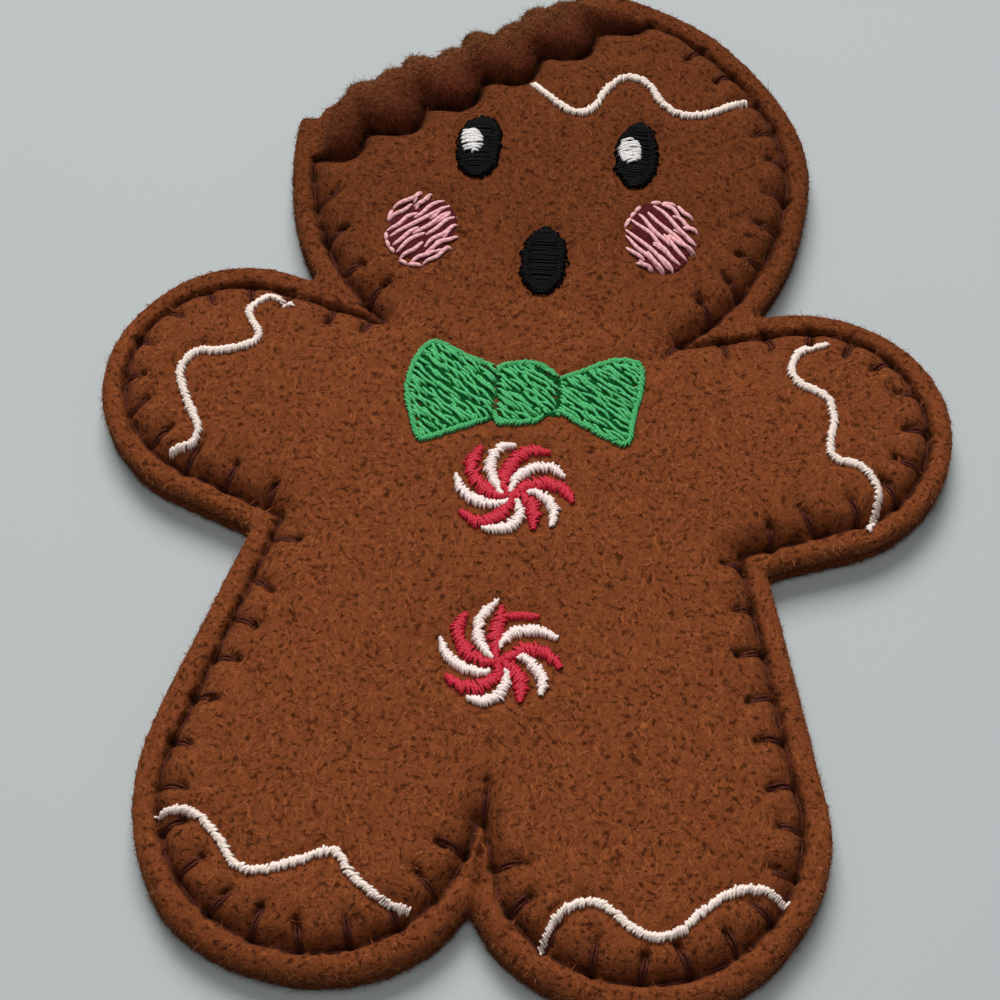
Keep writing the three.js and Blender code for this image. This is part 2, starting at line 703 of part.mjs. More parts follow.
// One wing of the bow, from beside the knot to its bulging tip.
function wingLoop(sign) {
  const waist = KNOT_HALF_WIDTH + PATCH_GAP;
  const edge = BOW_TIP_X - BOW_TIP_BULGE;
  const wing = new THREE.Shape();
  wing.moveTo(waist, -BOW_WAIST_HALF);
  wing.lineTo(edge - BOW_TIP_ROUND, -BOW_TIP_HALF);
  wing.quadraticCurveTo(edge, -BOW_TIP_HALF, edge, -BOW_TIP_HALF + BOW_TIP_ROUND);
  wing.quadraticCurveTo(edge + 2 * BOW_TIP_BULGE, 0, edge, BOW_TIP_HALF - BOW_TIP_ROUND);
  wing.quadraticCurveTo(edge, BOW_TIP_HALF, edge - BOW_TIP_ROUND, BOW_TIP_HALF);
  wing.lineTo(waist, BOW_WAIST_HALF);
  const points = wing.getPoints(6).map((p) => new THREE.Vector2(sign * p.x, BOW_Y + p.y));
  const open = points.filter((p, i) => i === 0 || p.distanceTo(points[i - 1]) > SEAM_TOLERANCE);
  return sign > 0 ? open : open.reverse();
}

function addBow() {
  const knot = ellipseLoop(0, BOW_Y, 2 * KNOT_HALF_WIDTH, 2 * KNOT_HALF_HEIGHT);
  for (const [name, outline] of [
    ["bow_left_wing", wingLoop(-1)],
    ["bow_right_wing", wingLoop(1)],
    ["bow_knot", knot],
  ]) {
    const rim = insetLoop(outline, BOW_BORDER);
    const fill = insetLoop(outline, BOW_BORDER + PATCH_GAP);
    addThread(name, patchSolid(fill, SATIN_HEIGHT, frontBed), COLOURS.green);
    addThread(name + "_border", patchSolid(outline, SATIN_HEIGHT, frontBed, [rim]), COLOURS.green);
  }
}

// Middle line of a sweet's arm, from the hub (share 0) to the rim (share 1).
function sweetArmPoint(y, rimAngle, share) {
  const radius = THREE.MathUtils.lerp(SWEET_HUB, SWEET_RADIUS, share);
  const angle = rimAngle + SWEET_TWIST * (1 - share);
  return new THREE.Vector2(radius * Math.cos(angle), y + radius * Math.sin(angle));
}

function addSweets() {
  for (const [name, y] of Object.entries(SWEETS)) {
    for (let k = 0; k < SWEET_ARMS; k++) {
      const rimAngle = SWEET_START - (k * 2 * Math.PI) / SWEET_ARMS;
      const pairs = [];
      for (let s = 0; s < SWEET_STATIONS; s++) {
        const share = s / (SWEET_STATIONS - 1);
        const at = sweetArmPoint(y, rimAngle, share);
        const ahead = sweetArmPoint(y, rimAngle, share + 1 / SWEET_STATIONS);
        const width = Math.min(SWEET_ARM_WIDTH, SWEET_ARM_SHARE * Math.hypot(at.x, at.y - y));
        const run = ahead.sub(at).setLength(width / 2);
        const side = new THREE.Vector2(-run.y, run.x);
        pairs.push([at.clone().add(side), at.clone().sub(side)]);
      }
      const white = k % 2 === 0;
      const label = name + "_sweet_" + (white ? "white" : "red") + "_" + (Math.floor(k / 2) + 1);
      const colour = white ? COLOURS.icing : COLOURS.red;
      addThread(label, columnSolid(pairs, SATIN_HEIGHT, frontBed), colour);
    }
  }
}

// Wavy satin lines across the limbs, kept clear of the seam.
function addIcing() {
  const half = ICING_WIDTH / 2;
  for (const [name, curve] of Object.entries(icingCurves)) {
    const steps = Math.ceil(curve.getLength() / ICING_STEP);
    const pairs = [];
    for (let s = 0; s <= steps; s++) {
      const at = curve.getPointAt(s / steps);
      const run = curve.getTangentAt(s / steps);
      if (seamDistance(at.x, at.y) > -ICING_INSET) continue;
      const side = new THREE.Vector2(-run.y, run.x).multiplyScalar(half);
      pairs.push([at.clone().add(side), at.clone().sub(side)]);
    }
    addThread(name, columnSolid(pairs, SATIN_HEIGHT, frontBed), COLOURS.icing);
  }
}

addFelt();
addFilling();
addFrontSeam();
addBackSeam();
addFace();
addBow();
addSweets();
addIcing();

export default part;
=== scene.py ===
"""Looks of a felt gingerbread-man ornament, laid out as a Blender add-on and run as a script.

Lengths are metres. The plan of the ornament is drawn in the figure's own frame, where y = 0 is the
waist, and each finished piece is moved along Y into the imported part's frame.
"""
import dataclasses
import functools
import math

import bpy
import numpy as np
from mathutils import Matrix, Vector
from mathutils.bvhtree import BVHTree
from mathutils.kdtree import KDTree


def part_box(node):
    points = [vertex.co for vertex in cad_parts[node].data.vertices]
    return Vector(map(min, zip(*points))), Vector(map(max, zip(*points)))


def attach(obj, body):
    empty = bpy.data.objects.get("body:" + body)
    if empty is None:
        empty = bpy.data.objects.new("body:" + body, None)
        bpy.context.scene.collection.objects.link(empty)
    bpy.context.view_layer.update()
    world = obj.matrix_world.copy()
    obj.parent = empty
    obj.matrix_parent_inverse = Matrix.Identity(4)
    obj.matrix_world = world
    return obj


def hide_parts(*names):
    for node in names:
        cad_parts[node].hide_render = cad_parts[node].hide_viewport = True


bl_info = {
    "name": "Felt Gingerbread Ornament",
    "version": (1, 0, 0),
    "blender": (4, 5, 0),
    "location": "View3D > Sidebar > Ornament",
    "description": "Dresses the packed ornament in felt, embroidery and blanket stitch",
    "category": "Object",
}

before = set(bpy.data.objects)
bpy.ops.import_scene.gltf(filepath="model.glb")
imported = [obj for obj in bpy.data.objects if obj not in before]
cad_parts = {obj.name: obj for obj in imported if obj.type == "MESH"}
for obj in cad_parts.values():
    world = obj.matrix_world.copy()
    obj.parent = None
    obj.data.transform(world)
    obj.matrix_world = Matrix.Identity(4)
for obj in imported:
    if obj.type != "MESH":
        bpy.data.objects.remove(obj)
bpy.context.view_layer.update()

MM = 0.001
BODY = "root"
SEED = 20261

# Fineness of the plan and of the meshes.
PLAN_STEP = 0.25 * MM
SEAM_STEP = 0.1 * MM
FRONT_NET = 0.36 * MM
BACK_NET = 0.48 * MM
INNER_NET = 0.8 * MM
THREAD_SIDES = 6

# Trimming of the cut edge.
TRIM_WAVE = 0.28 * MM
TRIM_WAVE_SIZE = 9 * MM
TRIM_EASE = 5 * MM
HAND_TRIM = 0.1 * MM
HAND_TRIM_FROM = 30 * MM
FOOT_SPARE = 0.25 * MM
FOOT_SPARE_BELOW = -36 * MM
CUSP_CUT = 0.5 * MM
CUSP_WIDTH = 1.0 * MM
BITE_SPARE = 0.35 * MM
BITE_WAVE = 0.22 * MM
BITE_WAVE_SIZE = 1.6 * MM
BITE_NEAR = 1.2 * MM
BITE_NEAR_RUN = 2 * MM

# The felt's profile across the seam.
VALLEY_TOP = 2.2 * MM
VALLEY_FLOOR = 1.9 * MM
MARGIN_TOP = 3.5 * MM
BAND_TOP = 4.9 * MM
BAND_EASE = 1.6 * MM
# Painted shade on the band outside the bite: darkest next to the seam, fading outward and toward the cut
# edge.
BAND_FADE = 0.6
BAND_FADE_FROM = 0.9 * MM
BAND_FADE_RUN = 2.8 * MM
BAND_EDGE = 0.7 * MM
BAND_EDGE_RUN = 1.7 * MM
CROWN_TOP = 5.05 * MM
RIM_RUN = 0.75 * MM
RIM_DROP = 0.5 * MM
RIM_CREASE = 0.12 * MM
RIM_BAND_DROP = 0.6
TOE_LINE = -33 * MM
TOE_RUN = 5 * MM
TOE_WIDEN = 1.2
TOE_DROP = 1.8
# Where the cut wall gets painted shade.
WALL_TOP = 2.95 * MM
WALL_FADE = 0.8 * MM
WALL_DEPTH = 0.45 * MM
WALL_FOOT = 0.1 * MM
WALL_FOOT_RUN = 0.3 * MM
BANK_RUN = 0.55 * MM
LOBE_RUN = 1.6 * MM
LOBE_CREASE = 0.55
LOBE_STEP = 0.9 * MM
LOBE_LUMP = 0.3 * MM
LOBE_LUMP_SIZE = 1.4 * MM
LOBE_FADE = 0.75
LOBE_FADE_RUN = 3.6 * MM
GROOVE_WIDTH = 0.2 * MM
GROOVE_DEPTH = 0.5 * MM
PRONG_GROOVE = 0.3 * MM
PRONG_DEPTH = 0.22 * MM
PIT_WIDTH = 0.2 * MM
PIT_DEPTH = 0.36 * MM
TIP_SHARE = 0.25
TIP_SHADE = 0.9
ROOT_WIDTH = 0.38 * MM
ROOT_DEPTH = 1.1 * PIT_DEPTH
PRONG_SHADE = 0.72
FRAY = 0.18 * MM
FRAY_SIZE = 0.6 * MM
REFINED = 0.9 * MM
PRESS_WIDTH = 0.5 * MM
PRESS_DEPTH = 0.3 * MM
LUMP_SIZE = 7 * MM
LUMP_HEIGHT = 0.13 * MM
LUMP_RUN = 3 * MM
SLIT_TOP = -31.2 * MM
NOTCH = ((0.4 * MM, -29.7 * MM, 0.1 * MM), (0.7 * MM, -35.5 * MM, 1.5 * MM))
SLIT_DEPTH = 1.3 * MM
SLIT_WIDTH = 0.22 * MM
SLIT_BOTTOM = -40 * MM
FILLING_INSET = 2.3 * MM
FILLING_FLOOR = 0.06 * MM
FILLING_ROOM = 0.12 * MM
FILLING_LEAST = 0.15 * MM
INSIDE_STEP = 0.5 * MM
BACKING_INSET = 5.5 * MM
LAYER_GAP = 0.04 * MM
BACK_GROOVE = 0.38 * MM
BACK_GROOVE_WIDTH = 0.4 * MM
BACK_RIM = 0.6 * MM

# Cloth that finds how the filling lifts the front felt, worked at a larger scale.
CLOTH_STRIDE = 3
CLOTH_SCALE = 100
CLOTH_FRAMES = 16
CLOTH_LIFT = 1
CLOTH_CAP = 0.95
PUFF_RUN = 1.05 * MM
PUFF_AT_BITE = 0.4
PUFF_GAP = 0.85 * MM
PRONG_PULL = 0.32
PUFF_POWER = 0.6
CLOTH_STRETCH = 40
CLOTH_BEND = 0.5
CLOTH_DRAG = 1
CLOTH_EASE = 0.08
CLOTH_STEPS = 6
CLOTH_MASS = 0.3
CLOTH_SPILL = 0.25

# Stitches.
SATIN_PITCH = 0.23 * MM
SATIN_CROWN = 0.4 * MM
SATIN_SINK = 0.14 * MM
SATIN_RAGGED = 0.2
FILL_CROWN = 0.3 * MM
UNDERLAY_CROWN = 0.07 * MM
PRONG_PITCH = 4 * MM
PRONG_LENGTH = 2.35 * MM
PRONG_LEAN = 0.16
PRONG_BITE_GAP = 3 * MM
CROTCH_PRONG = 3 * MM
PRONG_REACH = (0.78, 1.1)
PRONG_GAP = 0.17 * MM
PRONG_SWAY = 0.16 * MM
PRONG_CROWN = 0.1 * MM
PRONG_SINK = 0.5 * MM
SEAM_REACH = PRONG_LENGTH + 1.5 * MM
SEAM_TWIST = 0.1 * MM
SEAM_TURN = 3.4
SEAM_LEVEL = -0.02 * MM
SEAM_RISE = 0.06 * MM
SEAM_SINK = 0.3 * MM
THREAD_TAPER = (0.6, 8)
THREAD_FLATNESS = 0.85
END_SHADE = 0.5
ICING_HALF_WIDTH = 0.36 * MM
ICING_PITCH = 0.18 * MM
ICING_CROWN = 0.36 * MM
ICING_TAIL_SWAY = 0.2 * MM
ICING_TAIL_CROWN = 0.25 * MM
EYE_GAP = 0.27 * MM
EYE_FULLNESS = 0.9
EYE_RIM = 0.5 * MM
EYE_RIM_HALF_WIDTH = 0.55 * MM
EYE_UNDERLAY = 0.4 * MM
GLINT_GAP = 0.24 * MM
GLINT_SHAPE = (2.45, 2.7, 0.8)
GLINT_ANGLE = math.radians(14)
GLINT_CROWN = 0.7 * MM
GLINT_SINK = -0.2 * MM
GLINT_SWAY = 0.06 * MM
CHEEK_GAP = 0.84 * MM
CHEEK_SWAY = 0.1 * MM
CHEEK_SINK = 0.05 * MM
CHEEK_BESIDE = 0.2 * MM
CHEEK_SPLIT_FROM = 3.4 * MM
CHEEK_SECOND = 0.75
CHEEK_LOOSE = 0.4
CHEEK_INSET = 0.05 * MM
CHEEK_CROSSING = 1.3
CHEEK_UNDERLAY = 0.18 * MM
BOW_GAP = 0.31 * MM
BOW_STITCH = 2.6 * MM
SHORTEST = 0.7 * MM
BOW_STAGGER = 0.37
BOW_DRIFT = 0.13 * MM
BOW_SWAY = 0.08 * MM
BOW_SINK = 0.03 * MM
BOW_FILL_INSET = 0.3 * MM
BOW_INSET = 0.1 * MM
BOW_CROSSING = 1.2
BOW_UNDERLAY = 0.16 * MM
BOW_EDGE = 0.22 * MM
BOW_EDGE_HALF_WIDTH = 0.27 * MM
BOW_EDGE_CROWN = 0.34 * MM
KNOT_TOP = 11.6 * MM
KNOT_BOTTOM = 7.4 * MM
KNOT_SIDE = 2.9 * MM
SWEET_PITCH = 0.15 * MM
TAIL_RISE = 0.3 * MM

# Size, height and depth of the felt's unevenness.
FRONT_WOOL = (0.9 * MM, 0.16 * MM, 2)
BACK_WOOL = (1.1 * MM, 0.1 * MM, 3)

# Loose fibres. A rise is a pair of least and greatest, in metres for the nap and as a share of the
# length for the fringe. A swell gives the width at a fibre's start, middle and end.
NAP_FACING = 0.3
NAP_SPREAD = 0.85
NAP_BEND = 0.6
NAP_LENGTHS = 0.35
NAP_WIDTHS = 0.3
NAP_SWELL = (0.3, 1, 0.3)
NAP_RISE = (0.008 * MM, 0.03 * MM)
NAP_ROOT = 0.02 * MM
NAP_STEP = 0.4 * MM
SEAM_CLEAR = 0.12 * MM
BARE_UNDER = 0.5
CAST_FROM = 20 * MM
EDGE_WIDTH = 0.5 * MM
EDGE_FOOT = 0.3 * MM
EDGE_LENGTH = 0.45
BAND_OVER = 0.4
BAND_FOOT = 2.6 * MM
BAND_FACING = -0.2
BAND_LENGTH = 0.65
FRINGE_RISE = (0.1, 0.6)
FRINGE_FLOOR = 0.03 * MM
FRINGE_WIDTH = 0.3
FRINGE_SWELL = (1, 0.9, 0.4)
FRINGE_CORNERS = (0.5, 2.6, 4.7)

# The felt's pattern, and how far each tint goes over the one under it. The tints toward the head, on the
# cut wall, on the band outside the bite, in the pits and in the seam's crease are painted shade.
FIBRE_STROKE = (1.1 * MM, 0.16 * MM, 0.16 * MM)
PIT_SIZE = 0.46 * MM
# Painted shade that deepens the felt toward the head.
HEAD_SHADE_FROM = 6 * MM
HEAD_SHADE_RUN = 16 * MM
HEAD_SHADE_SHARE = 0.28
WALL_SHADE_TINT = 0.55
BAND_SHADE_TINT = 0.75
FELT_PIT_SHADE = 0.76
NAP_PIT_SHADE = {"fibre": 0.68, "fringe": 0.2}
FELT_CREASE_SHADE = 0.92
NAP_CREASE_SHADE = 0.9
STRAND_UV = "strand"
STRAND_TONE = "tone"

# Icing lines on the plan, in millimetres.
ICING = {
    "icing_head": [
        (-2.4, 45), (-0.9, 43.1), (1.6, 41.3), (3.4, 41.8), (4.8, 44.5), (6.5, 45.9),
        (8.5, 45.1), (10, 42.9), (12, 41.8), (14.9, 42.6), (17.9, 44.9),
    ],
    "icing_left_hand": [
        (-21.9, 17.3), (-23.6, 18), (-25.4, 16.1), (-24.1, 13), (-27.1, 11.5), (-29.4, 11.2),
        (-30.5, 9.3), (-29.6, 6.7), (-28.1, 3.9), (-28.2, 2.2), (-30.1, 1.3),
    ],
    "icing_right_hand": [
        (26.2, 17.6), (24.3, 17), (23.2, 15), (24, 13.2), (26.3, 12), (27.1, 9.9),
        (26.8, 7.4), (27.2, 5.9), (29.6, 5.3), (31, 3.7), (31.1, 2.1), (30.5, -0.1),
    ],
    "icing_left_foot": [
        (-25.4, -31.5), (-22.8, -31.5), (-20.5, -33.2), (-18.7, -35.4), (-16.7, -35.9), (-13.8, -34.9),
        (-11, -33.8), (-9.3, -35.6), (-6.8, -37.2), (-4.6, -37.7),
    ],
    "icing_right_foot": [
        (5.9, -39.4), (7.3, -36.9), (10, -35.9), (12.5, -37.5), (14.4, -38.2), (16.4, -37.6),
        (17.9, -36.1), (19.9, -34.3), (22.3, -33.5), (24.8, -34.1),
    ],
}

# Arms of the two sweets from hub to rim, in millimetres.
SWEET_HUBS = {"upper": (-0.4, -0.9), "lower": (0.3, -16.4)}
SWEET_ARMS = {
    "upper": {
        "white": [
            [(-1.1, -0.7), (-1.7, 0.4), (-2.2, 1.7), (-2.1, 2.9), (-1.5, 3.9), (-0.3, 4.1)],
            [(-0.2, -0.4), (0, 0.7), (0.8, 1.6), (1.9, 2.2), (3.2, 2.2), (4.2, 1.5)],
            [(1.8, -0.3), (2.9, -0.9), (3.6, -2), (3.5, -3.5)],
            [(0.5, -1.5), (0.7, -2.6), (0.3, -3.6), (-0.8, -4.1), (-2.3, -4.3)],
            [(-0.5, -1.5), (-1.7, -1.8), (-3.2, -1.5), (-4.4, -0.7), (-5.1, 0.7)],
        ],
        "red": [
            [(-1, 0.5), (-0.6, 2), (0.1, 3.2), (1.2, 3.8), (2.7, 3.8)],
            [(1.2, 0.3), (2.4, 0.7), (3.7, 0.6), (4.7, -0.2), (5.1, -0.9)],
            [(0.3, -0.7), (1.3, -1.1), (1.9, -2.3), (2, -3.9)],
            [(-0.1, -1.2), (-0.8, -2.6), (-2, -3.5), (-3.3, -3.4), (-4.3, -2.8)],
            [(-1.7, -0.9), (-2.8, 0), (-3.7, 1), (-3.8, 2.3), (-3.2, 3.7)],
        ],
    },
    "lower": {
        "white": [
            [(-0.4, -16), (-1.2, -15.1), (-1.6, -13.9), (-1.6, -12.7), (-1, -11.7), (-0.4, -11.1)],
            [(0.4, -14.7), (1.1, -13.8), (2.5, -13.3), (3.7, -13.3), (4.9, -13.8)],
            [(2.4, -15.8), (3.3, -16.6), (4.1, -17.7), (4, -19)],
            [(1.1, -17.4), (1, -18.5), (0.5, -19.4), (-0.6, -20), (-1.9, -19.9)],
            [(-0.6, -17.5), (-1.8, -17.4), (-3.1, -16.9), (-4.1, -16), (-4.7, -14.8)],
        ],
        "red": [
            [(0, -15.8), (-0.2, -14.3), (0, -12.8), (0.1, -11.4)],
            [(1.3, -15.7), (2.2, -15), (3.5, -15), (4.6, -15.5), (5.4, -16.4)],
            [(0.7, -16.4), (1.7, -17.2), (2.4, -18.3), (2.4, -19.8)],
            [(0.3, -17.6), (-0.6, -18.6), (-1.8, -18.9), (-3, -18.7), (-3.8, -18)],
            [(-0.8, -16.5), (-2, -15.9), (-2.9, -14.9), (-3.4, -13.7), (-2.9, -12.3)],
        ],
    },
}
SWEET_TAILS = [
    [(-0.5, -11.4), (-0.4, -11), (-0.2, -10.7)],
    [(-0.5, -11.4), (-0.5, -11), (-0.6, -10.75)],
]
SWEET_SPUR = [(0.4, -12.3), (1.8, -12), (3.2, -12)]

# Bow outlines, anticlockwise, in millimetres. The wings run on under the knot.
BOW_OUTLINES = {
    "bow_left_wing": [
        (-1.9, 12.1), (-3.2, 12.4), (-5.5, 13.2), (-7.5, 14.2), (-8.9, 14.3), (-10, 12.7), (-10.5, 10.4),
        (-10.4, 8.2), (-9.6, 5.7), (-8.9, 4.1), (-8.1, 3.9), (-6.2, 4.9), (-2.6, 6.6), (-1.9, 6.9),
    ],
    "bow_right_wing": [
        (2, 7.5), (3.1, 7.8), (5.6, 6.5), (8, 5.4), (9.1, 5.1), (9.7, 5.8), (9.9, 8), (10.3, 10.8),
        (10.2, 13.4), (9.4, 14), (7.6, 14), (5.1, 12.7), (2.8, 11.6), (2, 11.7),
    ],
    "bow_knot": [
        (-2.3, 6.4), (-1, 6.3), (0.6, 6.5), (2, 7.2), (3.1, 7.8), (3.2, 9.7), (2.8, 11.6), (1.5, 12.7),
        (0.2, 13), (-1.1, 12.8), (-2.6, 12.1), (-2.9, 9.5),
    ],
}
BOW_FILL_REACH = {"bow_left_wing": (-11, -2.6), "bow_right_wing": (3, 11), "bow_knot": (-2.45, 2.75)}
BOW_FILL_ANGLE = {"bow_left_wing": -40, "bow_right_wing": -36, "bow_knot": -38}


def length(label, text, millimetres):
    """A length property, given in millimetres and held in metres."""
    return bpy.props.FloatProperty(name=label, description=text, default=millimetres * MM, unit="LENGTH")


def disc(label, text, x, y, radius):
    """A disc on the plan: x, y and radius, given in millimetres."""
    size = (x * MM, y * MM, radius * MM)
    return bpy.props.FloatVectorProperty(name=label, description=text, default=size, size=3, unit="LENGTH")


def colour(label, text, red, green, blue):
    """A linear colour property."""
    value = (red, green, blue)
    return bpy.props.FloatVectorProperty(
        name=label, description=text, default=value, subtype="COLOR", size=3, min=0, max=1)


def bearing(label, text, degrees):
    """An angle property, given in degrees and held in radians."""
    value = math.radians(degrees)
    return bpy.props.FloatProperty(name=label, description=text, default=value, subtype="ANGLE")


def tally(label, text, count):
    """A whole number property of none or more."""
    return bpy.props.IntProperty(name=label, description=text, default=count, min=0)


def wattage(label, text, watts):
    """A lamp's power property."""
    return bpy.props.FloatProperty(name=label, description=text, default=watts, unit="POWER")


class FigureSettings(bpy.types.PropertyGroup):
    """Outline of the figure along its seam, in the figure's own frame."""

    head_line: length("Head line", "Height of the head's widest line over the waist", 36)
    head_half_width: length("Head half width", "Middle of the head to its seam", 22.2)
    head_rise: length("Head rise", "Widest line to crown", 20.2)
    head_drop: length("Head drop", "Widest line to chin", 23.6)
    shoulder: disc("Shoulder", "Inner disc of an arm", 10.5, 4.7, 11.1)
    hand: disc("Hand", "Outer disc of an arm", 25.5, 9.6, 10.1)
    chest: disc("Chest", "Upper disc of a leg", 6, 6, 10.7)
    foot: disc("Foot", "Lower disc of a leg", 13, -28.6, 12.9)
    bite_angle: bearing("Bite angle", "Direction from the head's middle to the bite", 124.7)
    bite_line: length("Bite line", "Head's middle to the line of tooth centres", 13.75)
    tooth_radius: length("Tooth radius", "Half the width of one tooth mark", 3.3)
    tooth_pitch: length("Tooth pitch", "Distance between tooth marks", 6.3)
    tooth_shift: length("Tooth shift", "First tooth centre along the bite line", 2.7)
    trim_margin: length("Trim margin", "Seam to cut edge", 2.2)
    bite_margin: length("Bite margin", "Seam to cut edge along the bite", 4.5)


class FeltSettings(bpy.types.PropertyGroup):
    """The two felt layers and what lies between them."""

    thickness: length("Thickness", "Thickness of one felt layer", 1.7)
    filling: length("Filling", "Thickness of the batting", 1.6)
    backing: length("Backing", "Thickness of the sheet behind the embroidery", 0.3)
    fibre_length: length("Fibre length", "Mean length of the loose fibres", 0.75)
    fibre_radius: length("Fibre radius", "Half the width of a loose fibre", 0.07)
    top_fibres: tally("Top fibres", "Laid fibres in each third of the front's nap", 12500)
    edge_fibres: tally("Edge fibres", "Loose fibres along the cut edge", 13500)
    band_fibres: tally("Band fibres", "Loose fibres on the pressed felt outside the bite", 11000)
    back_fibres: tally("Back fibres", "Laid fibres under the back layer", 9000)
    base: colour("Felt", "Body colour of the felt", 0.178, 0.0455, 0.0137)
    # The pit colour is painted shade deep between the fibres.
    pit_shade: colour("Pits", "Colour deep between the fibres", 0.02, 0.004, 0.0012)
    fibre: colour("Fibres", "Colour of the topmost fibres", 0.28, 0.081, 0.0255)
    fibre_deep: colour("Deep fibres", "Colour of the lowest fibres", 0.105, 0.0245, 0.0075)
    # The fringe colour, lighter than the felt, is painted light: fuzz lit through from behind.
    fringe: colour("Fringe", "Colour of the lightest fibres along the cut edge", 0.5, 0.2, 0.08)
    # The band colour is painted shade on the felt outside the bite.
    band: colour("Bitten band", "Colour of the pressed felt outside the bite", 0.088, 0.0145, 0.0065)
    # The cut colour is painted shade on the cut wall.
    cut: colour("Cut", "Colour of the cut wall", 0.055, 0.011, 0.0025)
    # The crease colour is painted shade in the seam's crease, along the prongs and in their pits.
    crease_shade: colour("Crease", "Colour of the felt drawn in by the seam", 0.012, 0.0025, 0.001)
    batting: colour("Batting", "Colour of the filling", 0.8, 0.77, 0.7)


class ThreadSettings(bpy.types.PropertyGroup):
    """Threads of the embroidery and of the seam."""

    radius: length("Thread radius", "Half the thickness of the embroidery thread", 0.14)
    seam_radius: length("Seam thread radius", "Half the thickness of the seam thread", 0.135)
    white: colour("White", "Icing lines", 0.91, 0.77, 0.68)
    white_deep: colour("White shade", "Between white threads", 0.56, 0.42, 0.36)
    sugar: colour("Sugar white", "White sweet arms", 0.95, 0.8, 0.74)
    glint: colour("Glint", "White glints in the eyes", 0.78, 0.77, 0.76)
    black: colour("Black", "Eyes and mouth", 0.004, 0.004, 0.0045)
    black_deep: colour("Black shade", "Between black threads", 0.002, 0.002, 0.002)
    pink: colour("Pink", "Cheeks", 0.88, 0.47, 0.48)
    # Plum is painted shade under the cheeks' threads.
    plum: colour("Plum", "Under the cheeks' threads", 0.085, 0.012, 0.014)
    green: colour("Green", "Bow tie", 0.085, 0.47, 0.165)
    green_deep: colour("Green shade", "Between green threads", 0.001, 0.07, 0.01)
    red: colour("Red", "Red sweet arms", 0.6, 0.02, 0.045)
    red_deep: colour("Red shade", "Between red threads", 0.17, 0.004, 0.008)
    brown: colour("Brown", "Seam thread", 0.095, 0.026, 0.017)
    sheen: colour("Seam sheen", "Tint of the seam thread's gloss", 1, 0.62, 0.5)
    brown_deep: colour("Brown shade", "Between the seam thread's plies", 0.012, 0.005, 0.003)


class StageSettings(bpy.types.PropertyGroup):
    """Floor, lights and camera."""

    floor: colour("Floor", "Colour of the floor", 0.45, 0.48, 0.48)
    key_power: wattage("Key power", "Power of the soft key light", 8.2)
    fill_power: wattage("Fill power", "Power of the small overhead light", 0.12)
    world_level: bpy.props.FloatProperty(
        name="World level", description="Strength of the even surrounding light", default=0.14)
    camera_distance: length("Camera distance", "Camera to the point that it looks at", 192.9)
    camera_tilt: bearing("Camera tilt", "Angle between the view and straight down", 29.1)
    camera_turn: bearing("Camera turn", "Turn of the view about the vertical", 5.7)
    camera_slide: length("Camera slide", "Middle of the view left of the figure's centre line", 1.2)
    focus_height: length("Focus height", "Height of the point that the camera looks at", 3.1)
    lens: bpy.props.FloatProperty(
        name="Lens", description="Focal length for a sensor 36 mm wide", default=80.46, unit="CAMERA")


class OrnamentSettings(bpy.types.PropertyGroup):
    """Everything that a user would change."""

    figure: bpy.props.PointerProperty(type=FigureSettings)
    felt: bpy.props.PointerProperty(type=FeltSettings)
    thread: bpy.props.PointerProperty(type=ThreadSettings)
    stage: bpy.props.PointerProperty(type=StageSettings)


def settings():
    """The ornament's settings in the open scene."""
    return bpy.context.scene.ornament


# Lines and fields on the plan.

HEAD_POWER = 1.8
TOOTH_POWER = 3

CELL_LINES = {
    1: ("BL",), 2: ("RB",), 3: ("RL",), 4: ("TR",), 5: ("BL", "TR"), 6: ("TB",), 7: ("TL",),
    8: ("LT",), 9: ("BT",), 10: ("LT", "RB"), 11: ("RT",), 12: ("LR",), 13: ("BR",), 14: ("LB",),
}


def round_hull(x, y, start, end):
    """Signed distance to the hull of two discs."""
    ax, ay, ar = start
    bx, by, br = end
    span = math.hypot(bx - ax, by - ay)
    ux = (bx - ax) / span
    uy = (by - ay) / span
    along = (x - ax) * ux + (y - ay) * uy
    across = np.abs((x - ax) * uy - (y - ay) * ux)
    lean = (ar - br) / span
    rise = math.sqrt(1 - lean * lean)
    place = rise * along - lean * across
    flank = rise * across + lean * along - ar
    first = np.hypot(across, along) - ar
    last = np.hypot(across, along - span) - br
    return np.where(place < 0, first, np.where(place > rise * span, last, flank))


def trace(values, xs, ys):
    """Longest closed zero line of a sampled field, anticlockwise."""
    held = values < 0
    code = 1 * held[:-1, :-1] + 2 * held[:-1, 1:] + 4 * held[1:, 1:] + 8 * held[1:, :-1]
    step = xs[1] - xs[0]
    follow = {}
    spots = {}

    def crossing(j, i, upright):
        here = values[j, i]
        there = values[j + upright, i + 1 - upright]
        share = here / (here - there) * step
        spots[j, i, upright] = (xs[i] + share * (1 - upright), ys[j] + share * upright)
        return j, i, upright

    for j, i in np.argwhere((code > 0) & (code < 15)).tolist():
        edges = {"B": (j, i, 0), "T": (j + 1, i, 0), "L": (j, i, 1), "R": (j, i + 1, 1)}
        for start, end in CELL_LINES[int(code[j, i])]:
            follow[crossing(*edges[start])] = crossing(*edges[end])
    longest = []
    while follow:
        key = next(iter(follow))
        loop = []
        while key in follow:
            loop.append(spots[key])
            key = follow.pop(key)
        longest = max(longest, loop, key=len)
    return np.array(longest)


def resample(points, step, closed=False):
    """The same line with even steps."""
    points = np.asarray(points, float)
    if closed:
        points = np.vstack([points, points[:1]])
    run = np.concatenate([[0], np.cumsum(np.linalg.norm(np.diff(points, axis=0), axis=1))])
    count = max(2, round(run[-1] / step))
    at = np.linspace(0, run[-1], count + 1)
    if closed:
        at = at[:-1]
    return np.column_stack([np.interp(at, run, column) for column in points.T])


